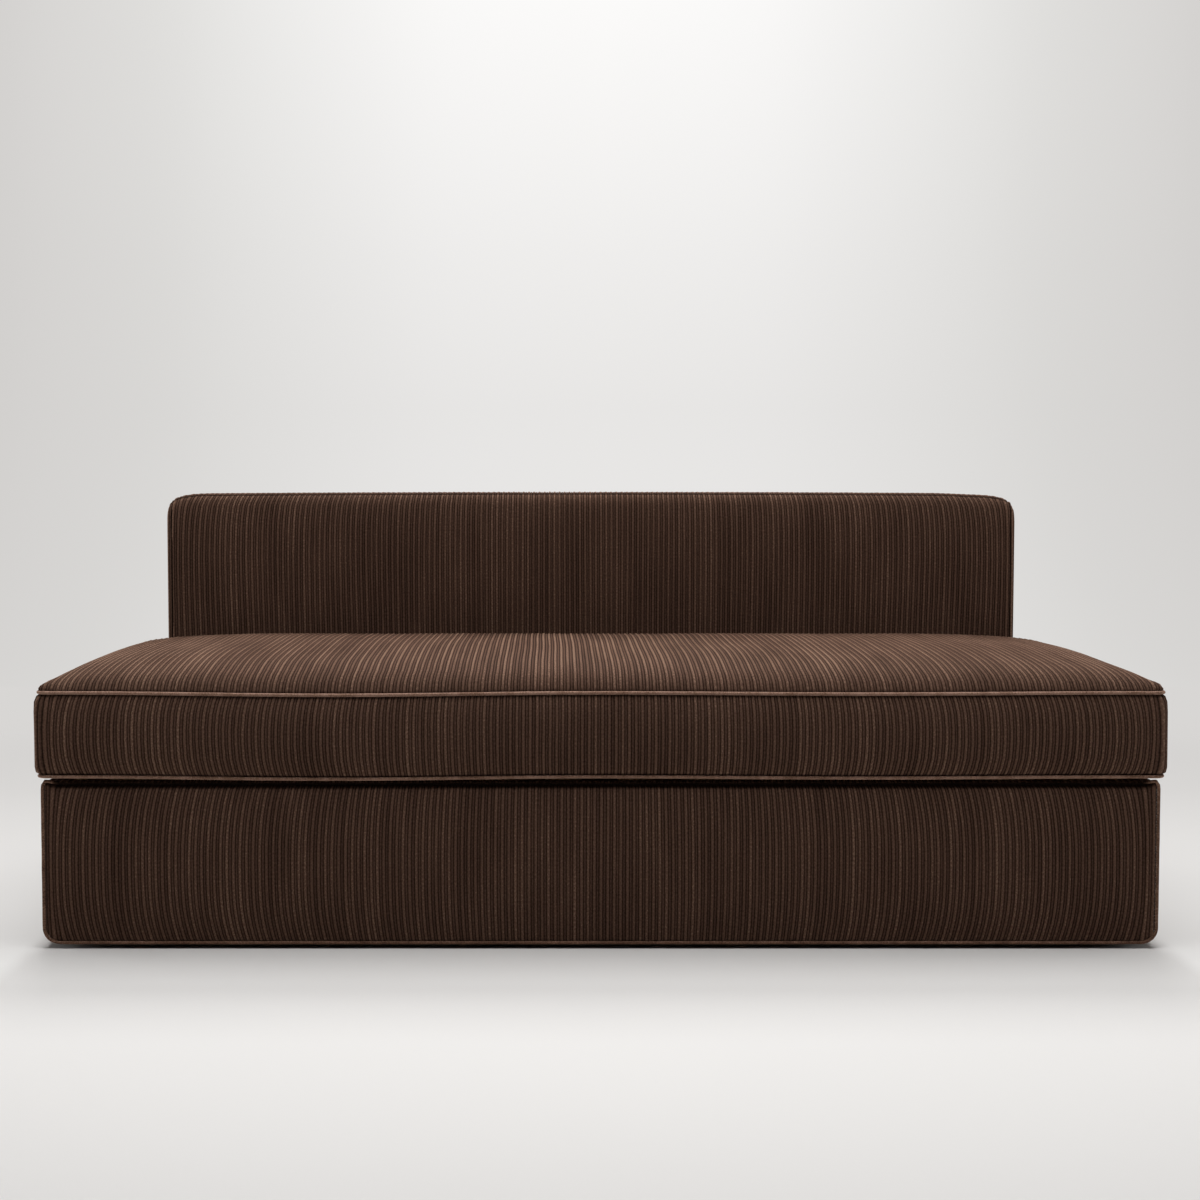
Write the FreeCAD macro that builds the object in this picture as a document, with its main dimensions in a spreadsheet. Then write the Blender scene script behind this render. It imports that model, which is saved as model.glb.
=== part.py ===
# Sofa bed: armless, one bench seat cushion, low back, box base down to the floor.
# The seat rolls out to the front on side runners and floor rollers, and the back
# turns down behind it on two pivots, which makes one flat bed.
# Millimetres. X runs along the sofa, Y to the rear, Z up, and the origin lies on
# the floor under the middle of the whole sofa.
import FreeCAD, Part
import Sketcher
import math
import os
import re

from FreeCAD import Placement, Rotation, Vector

doc = FreeCAD.newDocument("sofa_bed")
sheet = doc.addObject("Spreadsheet::Sheet", "sizes")

# Driving sizes, in millimetres.
driving_sizes = {
    # Whole sofa
    "base_width": 2080,
    "base_depth": 980,
    "base_height": 312,
    "floor_gap": 8,
    "running_fit": 0.05,
    "rest_fit": 0.3,
    "cut_overrun": 1,
    "pick_reach": 0.5,
    # Upholstered panels of the base
    "pad_thickness": 22,
    "board_thickness": 18,
    "pad_return": 8,
    "panel_gap": 3,
    "panel_top_corner": 14,
    "panel_bottom_corner": 26,
    "panel_edge_round": 7,
    "welt_radius": 4,
    "welt_rebate": 9,
    # Base frame
    "ledger_width": 40,
    "ledger_height": 40,
    "stretcher_width": 40,
    "stretcher_height": 60,
    "stretcher_spacing": 350,
    "glide_radius": 17,
    "glide_edge": 2,
    "glide_end_inset": 60,
    "rest_rail_width": 30,
    "rest_rail_height": 62,
    "rest_rail_end_gap": 80,
    "rest_strip_width": 30,
    "rest_strip_setback": 12,
    # Runners at both sides
    "runner_height": 45,
    "runner_width": 12.6,
    "runner_steel": 1.2,
    "runner_fit": 0.4,
    "runner_length": 700,
    "runner_middle_short": 30,
    "runner_front_inset": 20,
    "runner_rise": 20,
    "runner_outer_flange": 9,
    "runner_middle_flange": 5,
    "runner_inner_flange": 4.4,
    # Rolling seat frame
    "side_rail_width": 30,
    "side_rail_height": 166,
    "side_rail_drop": 16,
    "side_rail_rear_gap": 16,
    "cross_rail_width": 30,
    "cross_rail_height": 104,
    "tail_rail_height": 70,
    "slat_width": 70,
    "slat_thickness": 20,
    "slat_count": 14,
    "slat_end_gap": 32,
    "slat_rear_gap": 22,
    # Floor rollers behind the front panel
    "roller_radius": 25,
    "roller_width": 24,
    "roller_edge": 3,
    "roller_inset": 190,
    "roller_side_play": 1,
    "bracket_steel": 2.5,
    "bracket_depth": 46,
    "bracket_height": 70,
    "axle_radius": 4,
    "axle_head_radius": 6.5,
    "axle_head": 2.5,
    "axle_setback": 31,
    # Seat cushion
    "cushion_overhang": 12,
    "cushion_neck_inset": 14,
    "cushion_corner": 30,
    "boxing_height": 164,
    "crown_height": 58,
    "crown_run": 430,
    "crown_least": 1,
    "back_gap": 8,
    "zip_end_inset": 240,
    "zip_width": 10,
    "zip_thickness": 1.6,
    # Backrest
    "back_side_inset": 70,
    "back_thickness": 200,
    "back_height": 534,
    "back_rear_inset": 6,
    "back_floor_gap": 12,
    "back_foot_round": 70,
    "back_top_round": 30,
    "back_end_round": 20,
    "back_crown": 4,
    "back_crown_run": 240,
    "back_end_padding": 20,
    "back_top_padding": 46,
    "pivot_setback": 110,
    "pivot_rise": 90,
    "back_frame_thickness": 45,
    "back_rail_height": 60,
    "back_stile_width": 45,
    # Pivots of the backrest
    "pivot_plate_thickness": 6,
    "pivot_plate_width": 80,
    "pivot_plate_drop": 106,
    "pin_radius": 6,
    "pin_collar_radius": 12,
    "pin_head_radius": 11,
    "pin_head": 4.5,
    "bush_wall": 3,
    "bolt_radius": 4,
    "bolt_head_radius": 8,
    "bolt_head": 3.5,
    "bolt_spacing": 44,
    "bolt_rise": 30,
    "bolt_row_gap": 30,
}

for row, (alias, value) in enumerate(driving_sizes.items(), start=1):
    sheet.set(f"A{row}", alias)
    sheet.set(f"B{row}", str(value))
    sheet.setAlias(f"B{row}", alias)
doc.recompute()


def size(text):
    """Writes the names of sizes in text as references to the sheet."""
    return re.sub(r"[a-z_]{2,}", lambda found: as_cell(found[0]), text)


def as_cell(word):
    return f"sizes.{word}" if word in driving_sizes else word


def number(text):
    """The value of a sum of named sizes."""
    return float(sheet.evalExpression(size(text)))


# Places worked out from the driving sizes.
half_width = "( base_width / 2 )"
welt_reach = "( ( welt_rebate / sqrt(2) - welt_radius - rest_fit ) / sqrt(2) )"
welt_proud = f"( welt_radius - {welt_reach} )"
base_front = f"( ( cushion_overhang + rest_fit - {welt_proud} - base_depth ) / 2 )"
base_rear = f"( {base_front} + base_depth )"
panel_depth = "( pad_thickness + board_thickness )"
board_top = "( base_height - pad_return )"
board_inner = f"( {half_width} - {panel_depth} )"
side_rail_high = "( base_height - side_rail_drop )"
side_rail_low = f"( {side_rail_high} - side_rail_height )"
runner_low = f"( {side_rail_low} + runner_rise )"
plate_low = "( base_height - pivot_plate_drop )"
back_width = "( base_width - 2 * back_side_inset )"
zip_length = "( base_width - 2 * zip_end_inset )"
side_front = f"( {base_front} + {panel_depth} + panel_gap )"
side_rear = f"( {base_rear} - {panel_depth} )"
side_length = f"( {side_rear} - {side_front} )"
rail_outer = f"( {board_inner} - runner_width - running_fit * 2 )"
rail_inner = f"( {rail_outer} - side_rail_width )"
carriage_front = f"( {base_front} + {panel_depth} )"
carriage_rear = f"( {side_rear} - side_rail_rear_gap )"
slat_low = board_top
slat_top = f"( {slat_low} + slat_thickness )"
cushion_low = f"( {slat_top} + rest_fit )"
cushion_high = f"( {cushion_low} + boxing_height )"
cushion_front = f"( {base_front} - cushion_overhang )"
back_rear = f"( {base_rear} - back_rear_inset )"
back_front = f"( {back_rear} - back_thickness )"
cushion_rear = f"( {back_front} - back_gap )"
back_low = "( base_height + back_floor_gap )"
back_top = f"( {back_low} + back_height )"
pivot_y = f"( {back_front} + pivot_setback )"
pivot_z = f"( {back_low} + pivot_rise )"
seat_travel = f"( {pivot_y} + back_height - pivot_rise - {base_rear} )"
frame_end = f"( {back_width} / 2 - back_end_padding )"
frame_front = f"( {pivot_y} - back_frame_thickness / 2 )"
frame_top = f"( {back_top} - back_top_padding )"
axle_y = f"( {carriage_front} + axle_setback )"
roller_x = f"( {half_width} - roller_inset )"
slats_rear = f"( {cushion_rear} - slat_rear_gap )"
runner_front = f"( {side_front} + runner_front_inset )"

subparts = []


def keep(item, label):
    """Names a finished sub-part and puts it on the list that is written out."""
    item.Label = label
    subparts.append(item)
    return item


def bind(item, settings):
    for name, text in settings.items():
        item.setExpression(name, size(text))
    return item


def put(item, x="0", y="0", z="0"):
    """Binds the item's place to named sizes."""
    return bind(item, {"Placement.Base.x": x, "Placement.Base.y": y, "Placement.Base.z": z})


def box(name, x, y, z):
    """A bar or board. Each of x, y and z is its low side and its length."""
    item = doc.addObject("Part::Box", name)
    bind(item, {"Length": x[1], "Width": y[1], "Height": z[1]})
    return put(item, x[0], y[0], z[0])


def on_side(sign, low, length):
    """The low side of a span that lies at low on the right, or mirrored on the left."""
    return low if sign > 0 else f"( 0 - ( {low} ) - ( {length} ) )"


def rod(name, radius, length, x, y, z):
    """A round bar along X that starts at x."""
    item = doc.addObject("Part::Cylinder", name)
    bind(item, {"Radius": radius, "Height": length})
    item.Placement = Placement(Vector(), Rotation(Vector(0, 1, 0), 90))
    return put(item, x, y, z)


def group(name, items):
    item = doc.addObject("Part::Compound", name)
    item.Links = items
    return item


def cut(name, base, tool):
    item = doc.addObject("Part::Cut", name)
    item.Base = base
    item.Tool = tool
    return item


def fuse(name, items):
    item = doc.addObject("Part::MultiFuse", name)
    item.Shapes = items
    return item


def new_body(name, x="0", y="0", z="0", turn=0):
    """A body whose own frame stands at x, y, z, turned about the vertical."""
    body = doc.addObject("PartDesign::Body", name)
    body.Placement = Placement(Vector(), Rotation(Vector(0, 0, 1), turn))
    return put(body, x, y, z)


def new_sketch(body, plane):
    sketch = body.newObject("Sketcher::SketchObject", f"{body.Name}_sketch")
    planes = [item for item in body.Origin.OriginFeatures if item.Role == plane]
    sketch.AttachmentSupport = [(planes[0], "")]
    sketch.MapMode = "FlatFace"
    return sketch


def fix_point(sketch, geometry, point, place):
    """Holds a point at named distances from the sketch's origin."""
    for kind, axis, text in (("DistanceX", -2, place[0]), ("DistanceY", -1, place[1])):
        if text == "0":
            sketch.addConstraint(Sketcher.Constraint("PointOnObject", geometry, point, axis))
        else:
            value = number(text)
            index = sketch.addConstraint(
                Sketcher.Constraint(kind, -1, 1, geometry, point, value)
            )
            sketch.setExpression(f"Constraints[{index}]", size(text))


def outline(sketch, points):
    """Straight lines through points given as pairs of named sums, all zero or more."""
    corners = [Vector(number(x), number(y), 0) for x, y in points]
    first = sketch.GeometryCount
    for start, end in zip(corners, corners[1:] + corners[:1]):
        sketch.addGeometry(Part.LineSegment(start, end), False)
    count = len(points)
    for n in range(count):
        after = first + (n + 1) % count
        sketch.addConstraint(Sketcher.Constraint("Coincident", first + n, 2, after, 1))
    for n, place in enumerate(points):
        fix_point(sketch, first + n, 1, place)
    return sketch


def circle(sketch, x, y, radius):
    centre = Vector(number(x), number(y), 0)
    index = sketch.addGeometry(Part.Circle(centre, Vector(0, 0, 1), number(radius)), False)
    fix_point(sketch, index, 3, (x, y))
    held = sketch.addConstraint(Sketcher.Constraint("Radius", index, number(radius)))
    sketch.setExpression(f"Constraints[{held}]", size(radius))
    return sketch


def pad(body, sketch, length, backwards=False):
    feature = body.newObject("PartDesign::Pad", f"{body.Name}_pad")
    feature.Profile = sketch
    feature.Reversed = backwards
    bind(feature, {"Length": length})
    return feature


def pocket(body, sketch, length, backwards=False):
    feature = body.newObject("PartDesign::Pocket", f"{body.Name}_pocket")
    feature.Profile = sketch
    feature.Reversed = backwards
    bind(feature, {"Length": length})
    return feature


def turned(body, sketch, axis):
    """Turns a half outline round an axis of the sketch, H_Axis or V_Axis."""
    feature = body.newObject("PartDesign::Revolution", f"{body.Name}_turned")
    feature.Profile = sketch
    feature.ReferenceAxis = (sketch, [axis])
    feature.Angle = 360
    return feature


def rounded(body, feature, wanted, radius):
    """Rounds the edges of feature that wanted picks."""
    doc.recompute()
    names = []
    for n, edge in enumerate(feature.Shape.Edges, start=1):
        if wanted(edge):
            names.append(f"Edge{n}")
    fillet = body.newObject("PartDesign::Fillet", f"{body.Name}_round")
    fillet.Base = (feature, names)
    bind(fillet, {"Radius": radius})
    return fillet


def loop_wire(low_a, high_a, low_b, high_b, low_round, high_round, place):
    """A rounded rectangle. place turns the pair a, b into a point in space."""

    def corner(a, b, radius, start):
        quarter = [start, start + math.pi / 4, start + math.pi / 2]
        points = [place(a + radius * math.cos(t), b + radius * math.sin(t)) for t in quarter]
        return Part.Arc(*points).toShape(), points[0], points[2]

    corners = [
        corner(high_a - high_round, high_b - high_round, high_round, 0),
        corner(low_a + high_round, high_b - high_round, high_round, math.pi / 2),
        corner(low_a + low_round, low_b + low_round, low_round, math.pi),
        corner(high_a - low_round, low_b + low_round, low_round, 1.5 * math.pi),
    ]
    edges = []
    for n, (arc, start, end) in enumerate(corners):
        following = corners[(n + 1) % len(corners)][1]
        edges.append(arc)
        edges.append(Part.makeLine(end, following))
    return Part.Wire(edges)


def welt_loop(name, wire):
    """A closed piping cord of round section along wire, which starts at the end of an arc."""
    start = wire.Edges[0]
    direction = start.tangentAt(start.FirstParameter)
    ring = Part.makeCircle(number("welt_radius"), start.valueAt(start.FirstParameter), direction)
    tube = wire.makePipeShell([Part.Wire(ring)], True, False)
    item = doc.addObject("Part::Feature", name)
    item.Shape = tube
    item.Placement = Placement()
    expected = math.pi * number("welt_radius") ** 2 * wire.Length
    print(name, "volume over section times length", round(tube.Volume / expected, 4))
    return item


# Base boards, padded panels and their piping
def panel_cover(name, y, backwards):
    """A padded panel: front pad, returns over its four edges, recess for its board."""
    body = new_body(name, f"0 - {half_width}", y, "floor_gap")
    face = new_sketch(body, "XZ_Plane")
    height = "( base_height - floor_gap )"
    outline(face, [("0", "0"), ("base_width", "0"), ("base_width", height), ("0", height)])
    slab = pad(body, face, panel_depth, backwards=backwards)
    upright = lambda edge: abs(edge.tangentAt(edge.FirstParameter).y) > 0.9
    low = rounded(
        body, slab, lambda e: upright(e) and e.CenterOfMass.z < number("pick_reach"), "panel_bottom_corner"
    )
    high = rounded(
        body,
        low,
        lambda e: upright(e) and e.CenterOfMass.z > number(height) - number("pick_reach"),
        "panel_top_corner",
    )
    recess = new_sketch(body, "XZ_Plane")
    side = "pad_thickness"
    far = "( base_width - pad_thickness )"
    top = f"( {board_top} - floor_gap )"
    foot = "pad_return"
    outline(recess, [(side, foot), (far, foot), (far, top), (side, top)])
    recess_cut = pocket(body, recess, "board_thickness", backwards=not backwards)
    doc.recompute()
    outer = number(panel_depth) * (1 if backwards else -1)
    face_edges = [
        f"Edge{n}"
        for n, edge in enumerate(recess_cut.Shape.Edges, start=1)
        if all(abs(v.Point.y - outer) < number("pick_reach") for v in edge.Vertexes)
    ]
    rebate = body.newObject("PartDesign::Chamfer", f"{name}_rebate")
    rebate.Base = (recess_cut, face_edges)
    bind(rebate, {"Size": "welt_rebate"})
    body.Tip = rebate
    return keep(body, name)


def panel_board(name, y):
    side = f"( {half_width} - pad_thickness - rest_fit )"
    height = f"( {board_top} - floor_gap - pad_return - rest_fit * 2 )"
    item = box(
        name,
        (f"0 - {side}", f"{side} * 2"),
        (y, "board_thickness"),
        ("floor_gap + pad_return + rest_fit", height),
    )
    return keep(item, name)


def panel_welt(name, y, direction):
    """Piping round the face of a panel, seated in the rebate of its edge."""
    inset = number(welt_reach)
    depth = number(y) + direction * inset
    wire = loop_wire(
        inset - number(half_width),
        number(half_width) - inset,
        number("floor_gap") + inset,
        number("base_height") - inset,
        number("panel_bottom_corner") - inset,
        number("panel_top_corner") - inset,
        lambda a, b: Vector(a, depth, b),
    )
    return keep(welt_loop(name, wire), name)


panel_cover("front_cover", carriage_front, False)
panel_board("front_board", f"{base_front} + pad_thickness")
panel_welt("front_welt", base_front, 1)
panel_cover("rear_cover", side_rear, True)
panel_board("rear_board", side_rear)
panel_welt("rear_welt", base_rear, -1)

for side, sign in (("left", -1), ("right", 1)):
    x_low = on_side(sign, board_inner, "board_thickness")
    x = (x_low, "board_thickness")
    y = (side_front, side_length)
    z = ("floor_gap", f"{board_top} - floor_gap")
    keep(box(f"side_board_{side}", x, y, z), f"side_board_{side}")

    name = f"side_cover_{side}"
    turn = 0 if sign > 0 else 180
    start = side_front if sign > 0 else side_rear
    corner = board_inner if sign > 0 else f"( 0 - {board_inner} )"
    cover = new_body(name, corner, start, "floor_gap", turn)
    profile = new_sketch(cover, "XZ_Plane")
    height = "( base_height - floor_gap )"
    outline(
        profile,
        [
            ("board_thickness", "0"),
            (f"{panel_depth} - welt_rebate", "0"),
            (panel_depth, "welt_rebate"),
            (panel_depth, height),
            ("0", height),
            ("0", f"{board_top} - floor_gap"),
            ("board_thickness", f"{board_top} - floor_gap"),
        ],
    )
    skin = pad(cover, profile, side_length, backwards=True)
    on_shoulder = lambda e: (
        abs(e.CenterOfMass.x - number(panel_depth)) < number("pick_reach")
        and abs(e.CenterOfMass.z - number(height)) < number("pick_reach")
    )
    cover.Tip = rounded(cover, skin, on_shoulder, "panel_edge_round")
    keep(cover, name)

    name = f"side_welt_{side}"
    welt = doc.addObject("Part::Cylinder", name)
    bind(welt, {"Radius": "welt_radius", "Height": side_length})
    welt.Placement = Placement(Vector(), Rotation(Vector(1, 0, 0), -90))
    put(welt, f"{sign} * ( {half_width} - {welt_reach} )", side_front, f"floor_gap + {welt_reach}")
    keep(welt, name)

    name = f"ledger_{side}"
    x = (on_side(sign, f"{board_inner} - ledger_width", "ledger_width"), "ledger_width")
    keep(box(name, x, y, ("floor_gap", "ledger_height")), name)

    for end, place in (
        ("front", f"{side_front} + glide_end_inset"),
        ("rear", f"{side_rear} - glide_end_inset"),
    ):
        name = f"glide_{end}_{side}"
        glide = new_body(name, f"{sign} * ( {board_inner} - ledger_width / 2 )", place)
        half = new_sketch(glide, "XZ_Plane")
        outline(
            half,
            [
                ("0", "0"),
                ("glide_radius - glide_edge", "0"),
                ("glide_radius", "glide_edge"),
                ("glide_radius", "floor_gap"),
                ("0", "floor_gap"),
            ],
        )
        glide.Tip = turned(glide, half, "V_Axis")
        keep(glide, name)

ledger_inner = f"( {board_inner} - ledger_width )"
for name, place in (
    ("front_stretcher", "0 - stretcher_spacing / 2 - stretcher_width"),
    ("rear_stretcher", "stretcher_spacing / 2"),
):
    x = (f"0 - {ledger_inner}", f"{ledger_inner} * 2")
    keep(box(name, x, (place, "stretcher_width"), ("floor_gap", "stretcher_height")), name)

# Rail and strip at the rear of the base, which carry the flat backrest
rest_half = f"( {half_width} - {panel_depth} - rest_rail_end_gap )"
x = (f"0 - {rest_half}", f"{rest_half} * 2")
y = (f"{side_rear} - rest_rail_width", "rest_rail_width")
keep(box("rest_rail", x, y, ("base_height - rest_rail_height", "rest_rail_height")), "rest_rail")
strip_front = f"( {side_rear} - rest_strip_setback )"
z = ("base_height", "back_floor_gap - rest_fit")
keep(box("rest_strip", x, (strip_front, "rest_strip_width"), z), "rest_strip")


# Telescopic runners: a fixed, a middle and a moving channel at each side
def runner(name, sign, web_x, flange, opens_out, level, y_start, length):
    """A steel channel along Y. web_x is the web's side that is nearer to the middle."""
    turn = 0 if sign > 0 else 180
    steel = "runner_steel"
    low = f"( {runner_low} + {level} )"
    tall = f"( runner_height - 2 * {level} )"
    if opens_out:
        corner_x = web_x
        points = [
            ("0", "0"),
            (f"{steel} + {flange}", "0"),
            (f"{steel} + {flange}", steel),
            (steel, steel),
            (steel, f"{tall} - {steel}"),
            (f"{steel} + {flange}", f"{tall} - {steel}"),
            (f"{steel} + {flange}", tall),
            ("0", tall),
        ]
    else:
        corner_x = f"( {web_x} - {flange} )"
        points = [
            ("0", "0"),
            (f"{steel} + {flange}", "0"),
            (f"{steel} + {flange}", tall),
            ("0", tall),
            ("0", f"{tall} - {steel}"),
            (flange, f"{tall} - {steel}"),
            (flange, steel),
            ("0", steel),
        ]
    x = corner_x if sign > 0 else f"( 0 - {corner_x} )"
    y = y_start if sign > 0 else f"( {y_start} + {length} )"
    body = new_body(name, x, y, low, turn)
    profile = outline(new_sketch(body, "XZ_Plane"), points)
    body.Tip = pad(body, profile, length, backwards=True)
    return keep(body, name)


outer_web = f"( {board_inner} - runner_steel )"
inner_web = f"( {rail_outer} + running_fit )"
middle_web = f"( {inner_web} + runner_steel + runner_inner_flange + runner_fit )"
middle_length = "( runner_length - runner_middle_short )"
first_level = "( runner_steel + runner_fit )"
second_level = "( 2 * ( runner_steel + runner_fit ) )"
for side, sign in (("left", -1), ("right", 1)):
    name = f"runner_fixed_{side}"
    runner(name, sign, outer_web, "runner_outer_flange", False, "0", runner_front, "runner_length")
    name = f"runner_middle_{side}"
    runner(
        name, sign, middle_web, "runner_middle_flange", False, first_level, runner_front,
        middle_length,
    )
    name = f"runner_moving_{side}"
    runner(
        name, sign, inner_web, "runner_inner_flange", True, second_level, runner_front,
        "runner_length",
    )

# Rolling seat frame
plate_bolt_places = []
for row in range(2):
    for column in (-1, 1):
        y = f"( {pivot_y} + {column} * bolt_spacing / 2 )"
        z = f"( {plate_low} + bolt_rise + {row} * bolt_row_gap )"
        plate_bolt_places.append((y, z))

for side, sign in (("left", -1), ("right", 1)):
    bolts = []
    x = (on_side(sign, rail_inner, "side_rail_width"), "side_rail_width")
    y = (carriage_front, f"{carriage_rear} - {carriage_front}")
    z = (side_rail_low, "side_rail_height")
    bar = box(f"side_rail_bar_{side}", x, y, z)
    drills = []
    for n, (bolt_y, bolt_z) in enumerate(plate_bolt_places):
        length = "( side_rail_width + 2 * cut_overrun )"
        start = on_side(sign, f"{rail_inner} - cut_overrun", length)
        drills.append(
            rod(f"drill_{side}_{n}", "bolt_radius + running_fit", length, start, bolt_y, bolt_z)
        )
        grip = "( side_rail_width + pivot_plate_thickness )"
        shank_x = on_side(sign, rail_inner, grip)
        head_x = on_side(sign, f"{rail_outer} + pivot_plate_thickness", "bolt_head")
        shank = rod(f"bolt_shank_{side}_{n}", "bolt_radius", grip, shank_x, bolt_y, bolt_z)
        head = rod(f"bolt_head_{side}_{n}", "bolt_head_radius", "bolt_head", head_x, bolt_y, bolt_z)
        bolts.append(fuse(f"plate_bolt_{side}_{n}", [shank, head]))
    rail = cut(f"side_rail_{side}", bar, group(f"drills_{side}", drills))
    keep(rail, f"side_rail_{side}")
    keep(group(f"plate_bolts_{side}", bolts), f"plate_bolts_{side}")

cross_x = (f"0 - {rail_inner}", f"{rail_inner} * 2")
cross_z = (f"{board_top} - cross_rail_height", "cross_rail_height")
middle_y = f"( ( {carriage_front} + {slats_rear} - cross_rail_width ) / 2 )"
for name, place in (
    ("front_rail", carriage_front),
    ("middle_rail", middle_y),
    ("rear_rail", f"{slats_rear} - cross_rail_width"),
):
    keep(box(name, cross_x, (place, "cross_rail_width"), cross_z), name)
tail_y = (f"{carriage_rear} - cross_rail_width", "cross_rail_width")
keep(box("tail_rail", cross_x, tail_y, (side_rail_low, "tail_rail_height")), "tail_rail")

slats = []
slat_first = f"( slat_end_gap - {rail_inner} )"
slat_pitch = f"( ( {rail_inner} * 2 - slat_end_gap * 2 - slat_width ) / ( slat_count - 1 ) )"
for n in range(int(number("slat_count"))):
    x = (f"{slat_first} + {n} * {slat_pitch}", "slat_width")
    y = (carriage_front, f"{slats_rear} - {carriage_front}")
    slats.append(box(f"slat_{n}", x, y, (slat_low, "slat_thickness")))
keep(group("seat_slats", slats), "seat_slats")


# Floor rollers with their brackets and axles
for side, sign in (("left", -1), ("right", 1)):
    centre = f"( {sign} * {roller_x} )"
    inner_gap = "( roller_width + 2 * roller_side_play )"
    wide = f"( {inner_gap} + 2 * bracket_steel )"
    name = f"roller_bracket_{side}"
    bracket = new_body(name, f"{centre} - {wide} / 2", carriage_front, "floor_gap")
    plan = new_sketch(bracket, "XY_Plane")
    outline(
        plan,
        [
            ("0", "0"),
            (wide, "0"),
            (wide, "bracket_depth"),
            (f"{wide} - bracket_steel", "bracket_depth"),
            (f"{wide} - bracket_steel", "bracket_steel"),
            ("bracket_steel", "bracket_steel"),
            ("bracket_steel", "bracket_depth"),
            ("0", "bracket_depth"),
        ],
    )
    pad(bracket, plan, "bracket_height")
    eye = new_sketch(bracket, "YZ_Plane")
    circle(eye, "axle_setback", "roller_radius - floor_gap", "axle_radius + running_fit")
    doc.recompute()
    bracket.Tip = pocket(bracket, eye, wide, backwards=True)
    keep(bracket, name)

    name = f"roller_axle_{side}"
    axle = new_body(name, f"{centre} - {wide} / 2 - axle_head - rest_fit", axle_y, "roller_radius")
    half = new_sketch(axle, "XZ_Plane")
    grip = f"( {wide} + 2 * rest_fit )"
    outline(
        half,
        [
            ("0", "0"),
            ("0", "axle_head_radius"),
            ("axle_head", "axle_head_radius"),
            ("axle_head", "axle_radius"),
            (f"axle_head + {grip}", "axle_radius"),
            (f"axle_head + {grip}", "axle_head_radius"),
            (f"2 * axle_head + {grip}", "axle_head_radius"),
            (f"2 * axle_head + {grip}", "0"),
        ],
    )
    axle.Tip = turned(axle, half, "H_Axis")
    keep(axle, name)

    name = f"roller_{side}"
    wheel = new_body(name, f"{centre} - roller_width / 2", axle_y, "roller_radius")
    half = new_sketch(wheel, "XZ_Plane")
    outline(
        half,
        [
            ("0", "axle_radius + running_fit"),
            ("roller_width", "axle_radius + running_fit"),
            ("roller_width", "roller_radius - roller_edge"),
            ("roller_width - roller_edge", "roller_radius"),
            ("roller_edge", "roller_radius"),
            ("0", "roller_radius - roller_edge"),
        ],
    )
    wheel.Tip = turned(wheel, half, "H_Axis")
    keep(wheel, name)

# Pivots of the backrest
for side, sign in (("left", -1), ("right", 1)):
    name = f"pivot_plate_{side}"
    x = on_side(sign, rail_outer, "pivot_plate_thickness")
    plate = new_body(name, x, f"{pivot_y} - pivot_plate_width / 2", plate_low)
    upper = f"( {pivot_z} - {plate_low} )"
    shape = new_sketch(plate, "YZ_Plane")
    wide = "pivot_plate_width"
    outline(shape, [("0", "0"), (wide, "0"), (wide, upper), ("0", upper)])
    pad(plate, shape, "pivot_plate_thickness")
    disc = new_sketch(plate, "YZ_Plane")
    circle(disc, f"{wide} / 2", upper, f"{wide} / 2")
    pad(plate, disc, "pivot_plate_thickness")
    holes = new_sketch(plate, "YZ_Plane")
    circle(holes, f"{wide} / 2", upper, "pin_radius + running_fit")
    for column in (-1, 1):
        for bolt_row in range(2):
            y = f"( {wide} / 2 + {column} * bolt_spacing / 2 )"
            z = f"( bolt_rise + {bolt_row} * bolt_row_gap )"
            circle(holes, y, z, "bolt_radius + running_fit")
    doc.recompute()
    plate.Tip = pocket(plate, holes, "pivot_plate_thickness", backwards=True)
    keep(plate, name)

    name = f"pivot_pin_{side}"
    turn = 0 if sign > 0 else 180
    stile_inner = f"( {frame_end} - back_stile_width )"
    pin_start = f"( {sign} * {stile_inner} )"
    pin = new_body(name, pin_start, pivot_y, pivot_z, turn)
    half = new_sketch(pin, "XZ_Plane")
    collar = f"( {back_width} / 2 + rest_fit - {stile_inner} )"
    plate_in = f"( {rail_outer} - rest_fit - {stile_inner} )"
    plate_out = f"( {rail_outer} + pivot_plate_thickness + rest_fit - {stile_inner} )"
    outline(
        half,
        [
            ("0", "0"),
            ("0", "pin_radius"),
            (collar, "pin_radius"),
            (collar, "pin_collar_radius"),
            (plate_in, "pin_collar_radius"),
            (plate_in, "pin_radius"),
            (plate_out, "pin_radius"),
            (plate_out, "pin_head_radius"),
            (f"{plate_out} + pin_head", "pin_head_radius"),
            (f"{plate_out} + pin_head", "0"),
        ],
    )
    pin.Tip = turned(pin, half, "H_Axis")
    keep(pin, name)

    name = f"pivot_bush_{side}"
    bush = new_body(name, pin_start, pivot_y, pivot_z, turn)
    half = new_sketch(bush, "XZ_Plane")
    outline(
        half,
        [
            ("0", "pin_radius + running_fit"),
            ("back_stile_width", "pin_radius + running_fit"),
            ("back_stile_width", "pin_radius + running_fit + bush_wall"),
            ("0", "pin_radius + running_fit + bush_wall"),
        ],
    )
    bush.Tip = turned(bush, half, "H_Axis")
    keep(bush, name)

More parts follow.
